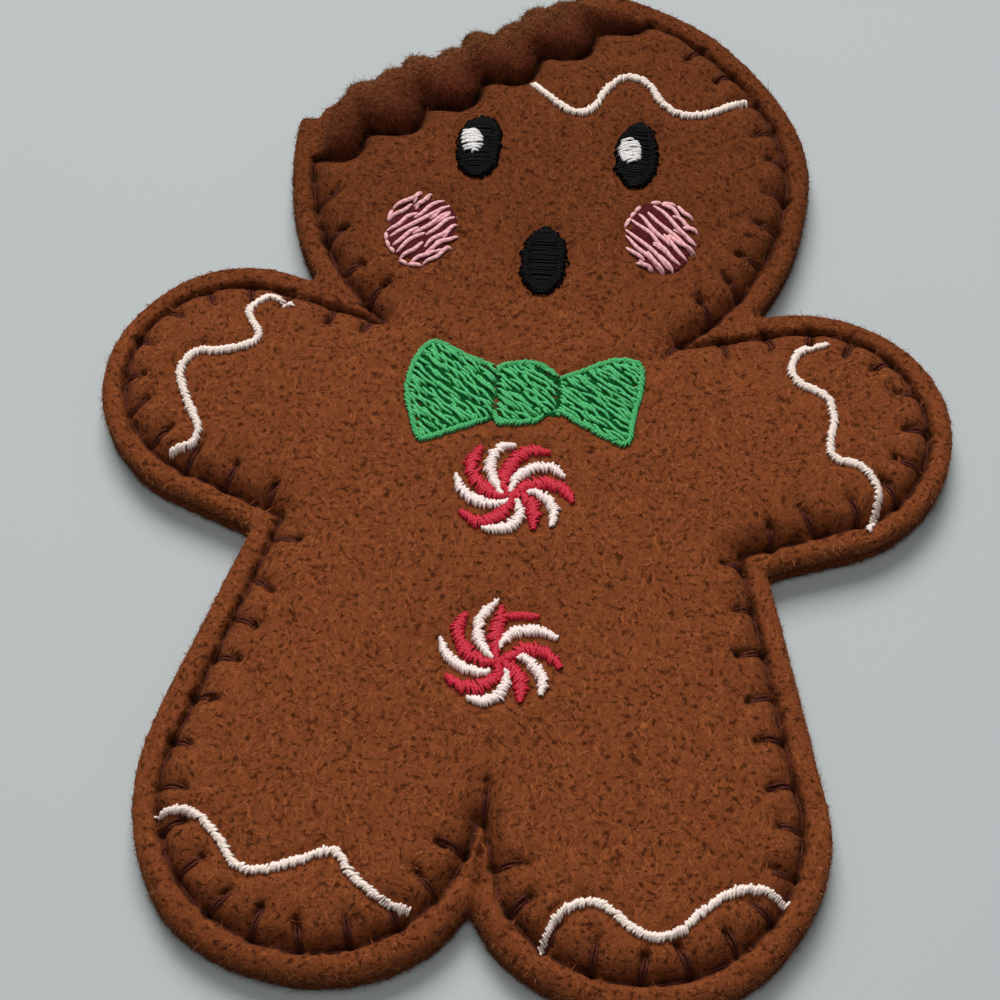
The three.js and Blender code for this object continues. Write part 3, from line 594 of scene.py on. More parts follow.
def smooth_line(points, step, closed=False, per_span=12):
    """A smooth line through points, with even steps."""
    points = np.asarray(points, float)
    if closed:
        padded = np.vstack([points[-1:], points, points[:2]])
    else:
        padded = np.vstack([2 * points[0] - points[1], points, 2 * points[-1] - points[-2]])
    share = np.linspace(0, 1, per_span, endpoint=False)[:, None]
    spans = []
    for a, b, c, d in zip(padded, padded[1:], padded[2:], padded[3:]):
        curve = 2 * b + (c - a) * share + (2 * a - 5 * b + 4 * c - d) * share**2
        spans.append((curve + (3 * b - a - 3 * c + d) * share**3) / 2)
    line = np.vstack(spans)
    if not closed:
        line = np.vstack([line, points[-1:]])
    return resample(line, step, closed)


def directions(line, closed=False):
    """Unit direction of a line at each of its points."""
    if closed:
        run = np.roll(line, -1, axis=0) - np.roll(line, 1, axis=0)
    else:
        run = np.gradient(line, axis=0)
    return run / np.maximum(np.linalg.norm(run, axis=1, keepdims=True), 1e-12)


def leftward(run):
    """Directions turned a quarter anticlockwise."""
    return np.column_stack([-run[:, 1], run[:, 0]])


def tree_of(points):
    """A search tree of points on the plan."""
    tree = KDTree(len(points))
    for index, spot in enumerate(np.asarray(points)[:, :2].tolist()):
        tree.insert((spot[0], spot[1], 0), index)
    tree.balance()
    return tree


def nearest(tree, x, y):
    """Distance to the nearest point of a tree."""
    far = [tree.find((a, b, 0))[2] for a, b in zip(np.ravel(x).tolist(), np.ravel(y).tolist())]
    return np.array(far).reshape(np.shape(x))


def ease(value):
    """Smooth step from 0 to 1."""
    value = np.clip(value, 0, 1)
    return value * value * (3 - 2 * value)


def rounded(share, power=2):
    """A rise from 0 to 1 that starts steeply and ends level."""
    return np.sqrt(np.clip(1 - (1 - np.clip(share, 0, 1)) ** power, 0, 1))


def bell(distance, width):
    """1 at no distance, fading over a width."""
    return np.exp(-((distance / width) ** 2))


def between(grid, j, i, b, a):
    """A grid's values at shares b and a of the way past its rows j and columns i."""
    low = grid[j, i] * (1 - a) + grid[j, i + 1] * a
    high = grid[j + 1, i] * (1 - a) + grid[j + 1, i + 1] * a
    return low * (1 - b) + high * b


def soften(grid, passes):
    """A grid blurred a little, several times."""
    for _ in range(passes):
        for axis in (0, 1):
            before = np.roll(grid, 1, axis=axis)
            after = np.roll(grid, -1, axis=axis)
            grid = (before + 2 * grid + after) / 4
    return grid


class Plan:
    """Seam, cut edge and prongs of the ornament, on a fine grid."""

    def __init__(self, figure):
        self.figure = figure
        self.out_x = math.cos(figure.bite_angle)
        self.out_y = math.sin(figure.bite_angle)
        room = figure.bite_margin + 2 * MM
        right = figure.hand[0] + figure.hand[2] + room
        low = figure.foot[1] - figure.foot[2] - room
        high = figure.head_line + figure.head_rise + room
        self.xs = np.arange(-right, right + PLAN_STEP, PLAN_STEP)
        self.ys = np.arange(low, high + PLAN_STEP, PLAN_STEP)
        self.x, self.y = np.meshgrid(self.xs, self.ys)
        outline = self.figure_field(self.x, self.y)
        bite = self.bite_field(self.x, self.y)
        notch = round_hull(self.x, self.y, *NOTCH)
        seam_field = np.maximum(np.maximum(outline, -bite), -notch)
        loop = self.traced(seam_field, SEAM_STEP)
        self.seam = np.roll(loop, -int(np.argmax(loop[:, 0])), axis=0)
        self.seam_tree = tree_of(self.seam)
        self.from_seam = self.signed(seam_field, self.seam_tree)
        self.from_figure = self.signed(outline, tree_of(self.traced(outline, SEAM_STEP)))
        self.band = ease(-self.from_figure / BAND_EASE) * (self.from_seam > 0) * (bite < 0)
        share = self.tooth_share(self.x, self.y)
        self.to_cusp = np.minimum(share, 1 - share) * figure.tooth_pitch
        wave = TRIM_WAVE * self.lumps(TRIM_WAVE_SIZE, 1)
        hands = HAND_TRIM * ease((np.abs(self.x) - HAND_TRIM_FROM) / TRIM_EASE)
        feet = FOOT_SPARE * ease((FOOT_SPARE_BELOW - self.y) / TRIM_EASE)
        teeth = CUSP_CUT * bell(self.to_cusp, CUSP_WIDTH) - BITE_SPARE + LOBE_STEP * (share - 0.5)
        teeth = teeth + BITE_WAVE * self.lumps(BITE_WAVE_SIZE, 7)
        trimmed = self.from_figure - figure.trim_margin + wave + hands - feet
        bitten = self.from_seam - figure.bite_margin + teeth + wave
        cut_field = np.maximum(trimmed, bitten)
        self.cut = self.traced(cut_field, 2 * SEAM_STEP)
        self.from_cut = self.signed(cut_field, tree_of(self.cut))
        self.prongs = self.place_prongs()
        stems = [np.linspace(root, tip, 10) for root, _, tip, _ in self.prongs]
        ends = [np.linspace(tip, tip + (root - tip) * TIP_SHARE, 5) for root, _, tip, _ in self.prongs]
        self.prong_tree = tree_of(np.vstack(stems))
        self.root_tree = tree_of([root for root, _, _, _ in self.prongs])
        self.tip_tree = tree_of(np.vstack(ends))
        self.to_prong = nearest(self.prong_tree, self.x, self.y)
        self.by_bite = 1 - ease((bite - BITE_NEAR) / BITE_NEAR_RUN)

    def traced(self, field, step):
        """A field's outline, with even steps."""
        return resample(trace(field, self.xs, self.ys), step, closed=True)

    def signed(self, field, tree):
        """Distance to a field's outline over the plan, below 0 inside it."""
        far = nearest(tree, self.x, self.y)
        return np.where(field < 0, -far, far)

    def figure_field(self, x, y):
        """Below 0 inside the figure: a head, two arms and two legs."""
        figure = self.figure
        reach = np.where(y > figure.head_line, figure.head_rise, figure.head_drop)
        power = np.where((x > 0) & (y > figure.head_line), HEAD_POWER, 2)
        wide = np.abs(x / figure.head_half_width) ** power
        head = (wide + np.abs((y - figure.head_line) / reach) ** power) ** (1 / power) - 1
        arm = round_hull(np.abs(x), y, figure.shoulder, figure.hand)
        leg = round_hull(np.abs(x), y, figure.chest, figure.foot)
        return np.minimum(head * figure.head_half_width, np.minimum(arm, leg))

    def bite_axes(self, x, y):
        """Distance beyond the line of tooth centres, and distance along it."""
        upward = y - self.figure.head_line
        beyond = x * self.out_x + upward * self.out_y - self.figure.bite_line
        return beyond, x * self.out_y - upward * self.out_x

    def bite_field(self, x, y):
        """Below 0 inside the bite, which is a row of blunt tooth marks."""
        figure = self.figure
        beyond, along = self.bite_axes(x, y)
        tooth = np.round((along - figure.tooth_shift) / figure.tooth_pitch)
        field = -beyond
        for step in (-1, 0, 1):
            past = along - figure.tooth_shift - (tooth + step) * figure.tooth_pitch
            across = np.abs(beyond * self.out_x + past * self.out_y)
            upward = np.abs(beyond * self.out_y - past * self.out_x)
            blunt = (across**TOOTH_POWER + upward**TOOTH_POWER) ** (1 / TOOTH_POWER)
            field = np.minimum(field, blunt - figure.tooth_radius)
        return field

    def tooth_share(self, x, y):
        """How far along its tooth mark a place is, from 0 at one cusp to 1 at the next."""
        figure = self.figure
        _, along = self.bite_axes(x, y)
        return ((along - figure.tooth_shift) / figure.tooth_pitch + 0.5) % 1

    def lumps(self, spacing, seed):
        """Smooth random heights of about -1 to 1 over the plan."""
        rng = np.random.default_rng(SEED + seed)
        rows = int(np.ptp(self.ys) / spacing) + 3
        columns = int(np.ptp(self.xs) / spacing) + 3
        coarse = rng.uniform(-1, 1, (rows, columns))
        v = (self.ys - self.ys[0]) / spacing
        u = (self.xs - self.xs[0]) / spacing
        j = v.astype(int)[:, None]
        i = u.astype(int)[None, :]
        return between(coarse, j, i, ease(v % 1)[:, None], ease(u % 1)[None, :])

    def place_prongs(self):
        """Root, inward direction and tip of each blanket-stitch prong."""
        total = len(self.seam) * SEAM_STEP
        count = round(total / PRONG_PITCH)
        softened = np.array([shifted(self.seam, k * MM) for k in (-1, 0, 1)]).mean(axis=0)
        inward = leftward(directions(softened, True))
        crotch = int(np.argmin(np.hypot(*(self.seam - NOTCH[0][:2]).T)))
        numbers = [int(crotch + k * len(self.seam) / count) % len(self.seam) for k in range(count)]
        rng = np.random.default_rng(SEED + 3)
        prongs = []
        for number in sorted(numbers):
            root = self.seam[number]
            if self.bite_field(root[0], root[1]) < PRONG_BITE_GAP:
                continue
            lean = rng.normal(0, PRONG_LEAN)
            ahead = inward[number] + np.array([-inward[number][1], inward[number][0]]) * lean
            reach = PRONG_LENGTH * rng.uniform(*PRONG_REACH)
            if number == crotch:
                ahead, reach = np.array([0.0, 1.0]), CROTCH_PRONG
            prongs.append((root, ahead, root + ahead * reach, number))
        return prongs

    def sample(self, grid, x, y):
        """A grid's values at any places, by straight interpolation."""
        u = np.clip((np.asarray(x) - self.xs[0]) / PLAN_STEP, 0, len(self.xs) - 1.001)
        v = np.clip((np.asarray(y) - self.ys[0]) / PLAN_STEP, 0, len(self.ys) - 1.001)
        i = u.astype(int)
        j = v.astype(int)
        return between(grid, j, i, v - j, u - i)


def shifted(loop, distance):
    """The seam's closed loop, its points moved on along it by about a distance."""
    return np.roll(loop, round(distance / SEAM_STEP), axis=0)


@functools.cache
def plan():
    """The ornament's plan, worked out once."""
    return Plan(settings().figure)


# Embroidery: each patch is a list of threads, with columns x, y and rise over the felt.


@dataclasses.dataclass
class Patch:
    """One embroidered piece: its threads, and its underlay threads that lie under them, drawn in their
    shade colour as painted shade in the gaps.
    """

    node: str
    slot: str
    finish: str
    threads: list
    underlay: list = dataclasses.field(default_factory=list)
    weight: float = 1.0
    taper: tuple = THREAD_TAPER


def arch(start, end, crown, sink=SATIN_SINK, points=7):
    """One stitch between two needle holes, highest over its middle."""
    share = np.linspace(0, 1, points)[:, None]
    flat = start + (end - start) * share
    rise = crown - (crown + sink) * (2 * share - 1) ** 4
    return np.hstack([flat, rise])


def satin(path, half_width, rng, lean=0.0, ends=(0.8, 0.8), crown=SATIN_CROWN, pitch=SATIN_PITCH,
          closed=False, belly=0.0):
    """Stitches side by side across a path, shorter toward its ends by the share that belly gives."""
    line = resample(path, pitch, closed)
    run = directions(line, closed)
    side = leftward(run)
    share = np.linspace(0, 1, len(line))
    taper = np.ones(len(line)) if closed else np.interp(share, (0, 0.16, 0.84, 1), (ends[0], 1, 1, ends[1]))
    taper = taper * (1 - belly * (2 * share - 1) ** 2)
    stitches = []
    for spot, ahead, out, wide in zip(line, run, side, taper * half_width):
        left, right, tilt = rng.normal(0, SATIN_RAGGED, 3)
        slant = ahead * wide * (lean + tilt)
        start = spot + out * wide * (1 + left) + slant
        end = spot - out * wide * (1 + right) - slant
        stitches.append(arch(start, end, crown))
    return stitches


def rows_across(outline, angle, gap, rng, ragged=0.12):
    """Straight rows across an outline at an angle, as pairs of ends."""
    turn = np.array([[math.cos(angle), math.sin(angle)], [-math.sin(angle), math.cos(angle)]])
    turned = outline @ turn.T
    after = np.roll(turned, -1, axis=0)
    rows = []
    for level in np.arange(turned[:, 1].min() + gap / 2, turned[:, 1].max(), gap):
        level = level + rng.normal(0, ragged * gap)
        crosses = (turned[:, 1] > level) != (after[:, 1] > level)
        if crosses.sum() < 2:
            continue
        a = turned[crosses]
        b = after[crosses]
        x = a[:, 0] + (level - a[:, 1]) / (b[:, 1] - a[:, 1]) * (b[:, 0] - a[:, 0])
        ends = np.array([[x.min(), level], [x.max(), level]]) + rng.normal(0, 0.05 * MM, (2, 2))
        rows.append(ends @ turn)
    return rows


def wavy(thread, sway, rng):
    """A thread that wanders sideways a little."""
    share = np.linspace(0, 1, len(thread))
    drift = sway * np.sin(share * rng.uniform(5, 11) + rng.uniform(0, 6))
    thread[:, :2] += leftward(directions(thread[:, :2])) * drift[:, None]
    return thread


def split_rows(rows, rng):
    """Long rows as staggered shorter stitches that wander a little."""
    stitches = []
    for k, (start, end) in enumerate(rows):
        reach = np.linalg.norm(end - start)
        stops = np.arange((k * BOW_STAGGER % 1) * BOW_STITCH, reach, BOW_STITCH)
        inner = stops[(stops > SHORTEST) & (stops < reach - SHORTEST)]
        stops = np.unique(np.concatenate([[0], inner, [reach]]))
        spots = start + (end - start) / max(reach, 1e-9) * stops[:, None]
        for a, b in zip(spots, spots[1:]):
            ends = rng.normal(0, BOW_DRIFT, (2, 2))
            crown = FILL_CROWN * rng.uniform(0.75, 1.2)
            thread = arch(a + ends[0], b + ends[1], crown, BOW_SINK, 9)
            stitches.append(wavy(thread, BOW_SWAY, rng))
    return stitches


def oval(x, y, width, height, fullness=1.0, count=64):
    """An oval outline, from sizes in millimetres. A fullness under 1 makes its ends blunter."""
    turn = np.linspace(0, 2 * math.pi, count, endpoint=False)
    across = np.sign(np.cos(turn)) * np.abs(np.cos(turn)) ** fullness
    upward = np.sign(np.sin(turn)) * np.abs(np.sin(turn)) ** fullness
    return np.column_stack([x + width / 2 * across, y + height / 2 * upward]) * MM


def inset(loop, distance):
    """A closed outline drawn in by a distance."""
    return loop + leftward(directions(loop, True)) * distance


def open_runs(loop, shown):
    """The shown stretches of a closed outline, as open lines."""
    start = int(np.argmin(shown))
    turned = np.roll(loop, -start, axis=0)
    kept = np.roll(shown, -start)
    breaks = np.flatnonzero(np.diff(kept.astype(int))) + 1
    return [run for run, seen in zip(np.split(turned, breaks), np.split(kept, breaks)) if seen[0]]


def underlay_rows(outline, angle, gap, crown, rng):
    """Low threads that lie under a fill, in rows across its outline."""
    return [arch(a, b, crown) for a, b in rows_across(outline, angle, gap, rng)]


def icing_patches():
    rng = np.random.default_rng(SEED + 10)
    patches = []
    for node, points in ICING.items():
        path = smooth_line(np.array(points) * MM, SATIN_PITCH)
        threads = satin(path, ICING_HALF_WIDTH, rng, lean=0.4, pitch=ICING_PITCH, crown=ICING_CROWN)
        tail = path[0] + (path[0] - path[4]) * 0.5
        threads.append(arch(path[0], tail + rng.normal(0, ICING_TAIL_SWAY, 2), ICING_TAIL_CROWN))
        patches.append(Patch(node, "white_thread", "white", threads, weight=0.85))
    return patches


def black_oval(node, outline, angle, rng):
    """An oval of rows with a satin rim, for the eyes and the mouth."""
    rows = rows_across(outline, angle, EYE_GAP, rng)
    threads = [arch(a, b, SATIN_CROWN * 1.05, points=9) for a, b in rows]
    rim = inset(outline, EYE_RIM)
    threads += satin(rim, EYE_RIM_HALF_WIDTH, rng, closed=True, crown=SATIN_CROWN * 1.1)
    inner = inset(outline, EYE_UNDERLAY)
    underlay = underlay_rows(inner, angle + math.pi / 2, EYE_UNDERLAY, UNDERLAY_CROWN * 2, rng)
    return Patch(node, "black_thread", "black", threads, underlay)


def cheek_patch(node, outline, angle, breaks, rng):
    """Open rows of thread with fat, merging strokes, joined along one edge, over a low underlay.

    A share of the rows, given by breaks, are two strokes that pass each other midway.
    """
    rows = rows_across(outline, angle, CHEEK_GAP, rng)
    threads = []

    def stroke(start, end):
        crown = FILL_CROWN * rng.uniform(0.8, 1.3)
        threads.append(wavy(arch(start, end, crown, CHEEK_SINK, 13), CHEEK_SWAY, rng))

    for a, b in rows:
        run = b - a
        reach = np.linalg.norm(run)
        beside = np.array([-run[1], run[0]]) / reach * CHEEK_BESIDE * rng.choice((-1, 1))
        if reach > CHEEK_SPLIT_FROM and rng.uniform() < breaks:
            middle = rng.uniform(0.4, 0.6)
            overlap = rng.uniform(0.02, 0.14)
            stroke(a, a + run * (middle + overlap) + beside)
            stroke(a + run * (middle - overlap) - beside, b)
        else:
            stroke(a, b)
        if rng.uniform() < CHEEK_SECOND:
            stroke(a + run * rng.uniform(0.45, 0.7) - beside * 2, b + beside * rng.uniform(0, 1))
    for this, following in zip(rows, rows[1:]):
        if rng.uniform() < CHEEK_LOOSE:
            continue
        threads.append(arch(this[0], following[0], FILL_CROWN * 0.7, CHEEK_SINK))
    inner = inset(outline, CHEEK_INSET)
    underlay = underlay_rows(inner, angle + CHEEK_CROSSING, CHEEK_UNDERLAY, UNDERLAY_CROWN, rng)
    return Patch(node, "pink_thread", "pink", threads, underlay, weight=1.55, taper=(0.4, 2.5))


def face_patches():
    rng = np.random.default_rng(SEED + 20)
    patches = [
        black_oval("left_eye", oval(-6.8, 36.3, 4.15, 7.5, EYE_FULLNESS), 0.06, rng),
        black_oval("right_eye", oval(8, 36.5, 3.95, 7.5, EYE_FULLNESS), -0.05, rng),
        black_oval("mouth", oval(0.4, 23.8, 4.1, 7.2, EYE_FULLNESS), 0.03, rng),
        cheek_patch("left_cheek", oval(-11, 26.3, 6.6, 8.1), math.radians(41), 0.95, rng),
        cheek_patch("right_cheek", oval(10.8, 27.5, 6.7, 7.8), math.radians(-43), 0.25, rng),
    ]
    glints = [("left_eye_glint", -7.5, 36.7), ("right_eye_glint", 7.3, 36.8)]
    for node, x, y in glints:
        rows = rows_across(oval(x, y, *GLINT_SHAPE), GLINT_ANGLE, GLINT_GAP, rng, ragged=0.3)
        threads = [wavy(arch(a, b, GLINT_CROWN, GLINT_SINK, 8), GLINT_SWAY, rng) for a, b in rows]
        patches.append(Patch(node, "white_thread", "glint", threads))
    return patches


def bow_patches():
    rng = np.random.default_rng(SEED + 30)
    patches = []
    for node, points in BOW_OUTLINES.items():
        outline = smooth_line(np.array(points) * MM, 0.25 * MM, closed=True)
        angle = math.radians(BOW_FILL_ANGLE[node])
        low, high = BOW_FILL_REACH[node]
        filled = inset(outline, BOW_FILL_INSET)
        filled[:, 0] = np.clip(filled[:, 0], low * MM, high * MM)
        rows = rows_across(filled, angle, BOW_GAP, rng, ragged=0.3)
        threads = split_rows(rows, rng)
        inner = inset(outline, BOW_INSET)
        underlay = underlay_rows(inner, angle + BOW_CROSSING, BOW_UNDERLAY, UNDERLAY_CROWN, rng)
        patches.append(Patch(node, "green_thread", "green", threads, underlay, weight=1.15, taper=(0.5, 3)))
        edge = inset(outline, BOW_EDGE)
        if node == "bow_knot":
            shown = (edge[:, 1] > KNOT_TOP) | (edge[:, 1] < KNOT_BOTTOM)
        else:
            shown = np.abs(edge[:, 0]) > KNOT_SIDE
        border = []
        for run in open_runs(edge, shown):
            border += satin(run, BOW_EDGE_HALF_WIDTH, rng, lean=0.9, crown=BOW_EDGE_CROWN)
        patches.append(Patch(node + "_border", "green_thread", "green", border, weight=0.8))
    return patches


def sweet_patches():
    rng = np.random.default_rng(SEED + 40)
    looks = {"white": ("sugar", 0.51 * MM, 0.44 * MM, 0.75), "red": ("red", 0.66 * MM, 0.38 * MM, 0.15)}
    patches = []
    for place, shades in SWEET_ARMS.items():
        hub = np.array(SWEET_HUBS[place])
        for shade, arms in shades.items():
            finish, half_width, crown, gap = looks[shade]
            shape = {"lean": -0.3, "ends": (0.6, 0.65), "crown": crown, "pitch": SWEET_PITCH, "belly": 0.45}
            for k, points in enumerate(arms):
                inner = hub + (np.array(points[0]) - hub) * gap
                path = smooth_line(np.array([inner, *points]) * MM, SATIN_PITCH)
                threads = satin(path, half_width, rng, **shape)
                if place == "lower" and shade == "white" and k == 0:
                    threads += [draw_tail(points) for points in SWEET_TAILS]
                if place == "lower" and shade == "red" and k == 0:
                    spur = smooth_line(np.array(SWEET_SPUR) * MM, SATIN_PITCH)
                    threads += satin(spur, half_width * 0.6, rng, **shape)
                node = f"{place}_sweet_{shade}_{k + 1}"
                patches.append(Patch(node, shade + "_thread", finish, threads, weight=0.8))
    return patches


def draw_tail(points):
    """A loose thread end that lies on the felt."""
    line = smooth_line(np.array(points) * MM, 0.25 * MM)
    return np.column_stack([line, np.full(len(line), TAIL_RISE)])


@functools.cache
def embroidery():
    """All embroidered patches by group, laid out once."""
    return {
        "icing": icing_patches(),
        "face": face_patches(),
        "bow": bow_patches(),
        "sweets": sweet_patches(),
    }


# Heights of the front felt.


def deselect_all():
    if bpy.context.object and bpy.context.object.mode != "OBJECT":
        bpy.ops.object.mode_set(mode="OBJECT")
    bpy.ops.object.select_all(action="DESELECT")


def activate(piece):
    deselect_all()
    piece.select_set(True)
    bpy.context.view_layer.objects.active = piece


def swollen(chart):
    """Lift of the front felt over the filling: a cloth held down along the seam and its prongs."""
    coarse = np.s_[::CLOTH_STRIDE, ::CLOTH_STRIDE]
    away = chart.from_seam[coarse]
    step = CLOTH_STRIDE * PLAN_STEP
    kept = away < step
    number = np.full(kept.shape, -1)
    number[kept] = np.arange(kept.sum())
    whole = kept[:-1, :-1] & kept[:-1, 1:] & kept[1:, 1:] & kept[1:, :-1]
    corners = [number[:-1, :-1], number[:-1, 1:], number[1:, 1:], number[1:, :-1]]
    faces = np.column_stack([c[whole] for c in corners])
    full = CROWN_TOP - VALLEY_TOP
    tie_far = chart.to_prong[coarse][kept]
    depth = np.maximum(-away[kept], 0)
    at_bite = chart.by_bite[coarse][kept]
    stuffed = 1 - np.exp(-depth / (PUFF_RUN * (1 + PUFF_AT_BITE * at_bite)))
    height = full * stuffed * (1 - PRONG_PULL * bell(tie_far, PUFF_GAP))
    at_seam = away[kept] > -0.5 * step
    at_tie = tie_far < 0.5 * step
    places = np.column_stack([chart.x[coarse][kept], chart.y[coarse][kept], height]) * CLOTH_SCALE

    cloth_piece = link_mesh("felt_over_filling", places, faces.tolist())
    pins = cloth_piece.vertex_groups.new(name="stitched_down")
    pins.add(np.flatnonzero(at_seam | at_tie).tolist(), 1, "REPLACE")
    activate(cloth_piece)
    cloth = cloth_piece.modifiers.new("Swelling", "CLOTH")
    cloth.settings.vertex_group_mass = "stitched_down"
    cloth.settings.quality = CLOTH_STEPS
    cloth.settings.mass = CLOTH_MASS
    for way in ("tension", "compression", "shear"):
        setattr(cloth.settings, way + "_stiffness", CLOTH_STRETCH)
    cloth.settings.bending_stiffness = CLOTH_BEND
    cloth.settings.air_damping = CLOTH_DRAG
    cloth.settings.shrink_min = -CLOTH_EASE
    cloth.settings.effector_weights.gravity = CLOTH_LIFT
    scene = bpy.context.scene
    weight = scene.gravity[:]
    scene.gravity = (0, 0, -weight[2])
    for step_number in range(1, CLOTH_FRAMES + 1):
        scene.frame_set(step_number)
    bpy.ops.object.modifier_apply(modifier=cloth.name)
    scene.gravity = weight
    scene.frame_set(1)
    mesh = cloth_piece.data
    share = np.clip(read_points(mesh)[:, 2] / CLOTH_SCALE, 0, None)
    bpy.data.objects.remove(cloth_piece)
    bpy.data.meshes.remove(mesh)
    over = np.maximum(share - CLOTH_CAP * full, 0)
    share = np.minimum(share, CLOTH_CAP * full) + CLOTH_SPILL * full * np.tanh(over / full)
    share = full * (share / full) ** PUFF_POWER
    net = np.zeros(kept.shape)
    net[kept] = share
    rows = np.arange(len(chart.ys)) / CLOTH_STRIDE
    columns = np.arange(len(chart.xs)) / CLOTH_STRIDE
    j = np.minimum(rows.astype(int), net.shape[0] - 2)[:, None]
    i = np.minimum(columns.astype(int), net.shape[1] - 2)[None, :]
    b = np.minimum(rows - j[:, 0], 1)[:, None]
    a = np.minimum(columns - i[0], 1)[None, :]
    return soften(between(net, j, i, b, a), 3)


class Relief:
    """Heights of the felt's faces over the plan."""

    def __init__(self, chart):
        thickness = settings().felt.thickness
        self.chart = chart
        away = chart.from_seam
        inside = away < 0
        from_edge = -chart.from_cut
        stitched = [t[:, :2] for group in embroidery().values() for p in group for t in p.threads]
        to_stitch = nearest(tree_of(np.vstack(stitched)), chart.x, chart.y)
        self.press = bell(to_stitch, PRESS_WIDTH)
        self.fray = FRAY * chart.lumps(FRAY_SIZE, 5)
        out = np.maximum(away, 0)
        shade = 1 - BAND_FADE * ease((out - BAND_FADE_FROM) / BAND_FADE_RUN)
        self.band_shade = soften(chart.band * shade * ease((from_edge - BAND_EDGE) / BAND_EDGE_RUN), 2)

        crown = VALLEY_TOP + swollen(chart)
        margin = VALLEY_TOP + (MARGIN_TOP - VALLEY_TOP) * rounded(out / BANK_RUN)
        round_lobe = rounded(chart.to_cusp / (0.5 * chart.figure.tooth_pitch), 4)
        fade = 1 - LOBE_FADE * ease(out / LOBE_FADE_RUN)
        lobe = rounded(out / LOBE_RUN) * (1 - LOBE_CREASE * fade * (1 - round_lobe))
        puffed = VALLEY_TOP + (BAND_TOP - VALLEY_TOP + LOBE_LUMP * chart.lumps(LOBE_LUMP_SIZE, 6)) * lobe
        outer = margin * (1 - chart.band) + puffed * chart.band
        top = np.where(inside, crown, outer)
        top = soften(top, 1)
        top = top + LUMP_HEIGHT * chart.lumps(LUMP_SIZE, 2) * ease(np.abs(away) / LUMP_RUN)
        top = top - PRESS_DEPTH * self.press
        slit = bell(chart.x - NOTCH[0][0], SLIT_WIDTH) * ease((SLIT_TOP - chart.y) / MM)
        top = top - SLIT_DEPTH * slit * (chart.y > SLIT_BOTTOM)
        toe = ease((TOE_LINE - chart.y) / TOE_RUN)
        run = RIM_RUN * (1 + TOE_WIDEN * toe)
        drop = RIM_DROP * (1 + RIM_BAND_DROP * chart.band + TOE_DROP * toe)
        top = top - drop * (1 - rounded(from_edge / run))
        top = np.maximum(top, VALLEY_FLOOR)
        self.top = top
        rim = np.clip(1 - from_edge / RIM_CREASE, 0, 1) ** 2 * RIM_CREASE
        self.under = np.maximum(thickness + LAYER_GAP + rim, top - thickness * np.where(inside, 1, 10))
        self.back_top = thickness - LAYER_GAP - rim
        groove = BACK_GROOVE * bell(away, BACK_GROOVE_WIDTH)
        self.back = groove + BACK_RIM * (1 - rounded(from_edge / BACK_RIM))

    def stitched(self, x, y):
        """How deep the felt is where the seam's threads draw it in, and how much painted shade its crease,
        prongs and pits get.
        """
        chart = self.chart
        depth = np.zeros(len(x))
        dark = np.zeros(len(x))
        away = chart.sample(chart.from_seam, x, y)
        near = np.abs(away) < SEAM_REACH
        x, y, inside = x[near], y[near], away[near] < 0
        fray = chart.sample(self.fray, x, y)

        def close_to(tree, width, frayed=1):
            return bell(np.maximum(nearest(tree, x, y) + frayed * fray, 0), width)

        seam = close_to(chart.seam_tree, GROOVE_WIDTH)
        prong = close_to(chart.prong_tree, PRONG_GROOVE) * inside
        root = close_to(chart.root_tree, ROOT_WIDTH, 2)
        tip = close_to(chart.tip_tree, PIT_WIDTH, 1.5)
        depth[near] = GROOVE_DEPTH * seam + PRONG_DEPTH * prong + PIT_DEPTH * tip + ROOT_DEPTH * root
        darkest = np.max([seam, PRONG_SHADE * prong, root, TIP_SHADE * tip], axis=0)
        dark[near] = np.clip(darkest, 0, 1)
        return depth, dark

    def wall(self, x, y, z):
        """1 on the cut wall under the rim, else 0: the share of painted shade there."""
        near = ease((self.chart.sample(self.chart.from_cut, x, y) + WALL_DEPTH) / (0.5 * WALL_DEPTH))
        return near * ease((WALL_TOP - z) / WALL_FADE) * ease((z - WALL_FOOT) / WALL_FOOT_RUN)

    def height(self, x, y):
        """The front felt's top, with its seam drawn in."""
        depth, _ = self.stitched(x, y)
        return np.maximum(self.chart.sample(self.top, x, y) - depth, VALLEY_FLOOR)


@functools.cache
def relief():
    """The felt's heights, worked out once."""
    return Relief(plan())


# Meshes.


def figure_shift():
    """How far the figure's own frame lies above the part's frame along Y."""
    figure = settings().figure
    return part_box("back_felt")[0][1] - (figure.foot[1] - figure.foot[2] - figure.trim_margin)


def to_part(points):
    """Points of the figure's frame in the part's frame."""
    moved = np.array(points, float)
    moved[:, 1] += figure_shift()
    return moved


def read_points(mesh):
    found = np.zeros(len(mesh.vertices) * 3)
    mesh.vertices.foreach_get("co", found)
    return found.reshape(-1, 3)


def write_points(mesh, points):
    mesh.vertices.foreach_set("co", np.asarray(points, float).ravel())
    mesh.update()


def add_numbers(mesh, name, values):
    """A number for each point of a mesh, for its finish to read."""
    held = mesh.attributes.new(name, "FLOAT", "POINT")
    held.data.foreach_set("value", np.asarray(values, np.float32))


def link_mesh(name, points, faces):
    """A new piece in the scene, from its points and faces."""
    mesh = bpy.data.meshes.new(name)
    mesh.from_pydata(points.tolist(), [], faces)
    piece = bpy.data.objects.new(name, mesh)
    bpy.context.scene.collection.objects.link(piece)
    return piece


def finish_piece(piece, finish, slot, *nodes):
    """Gives a finished piece its material and its body, and hides the parts of the nodes that it stands
    for.
    """
    piece.data.materials.clear()
    piece.data.materials.append(finish)
    piece.data.shade_smooth()
    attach(piece, BODY)
    if nodes:
        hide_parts(*nodes)
    return piece


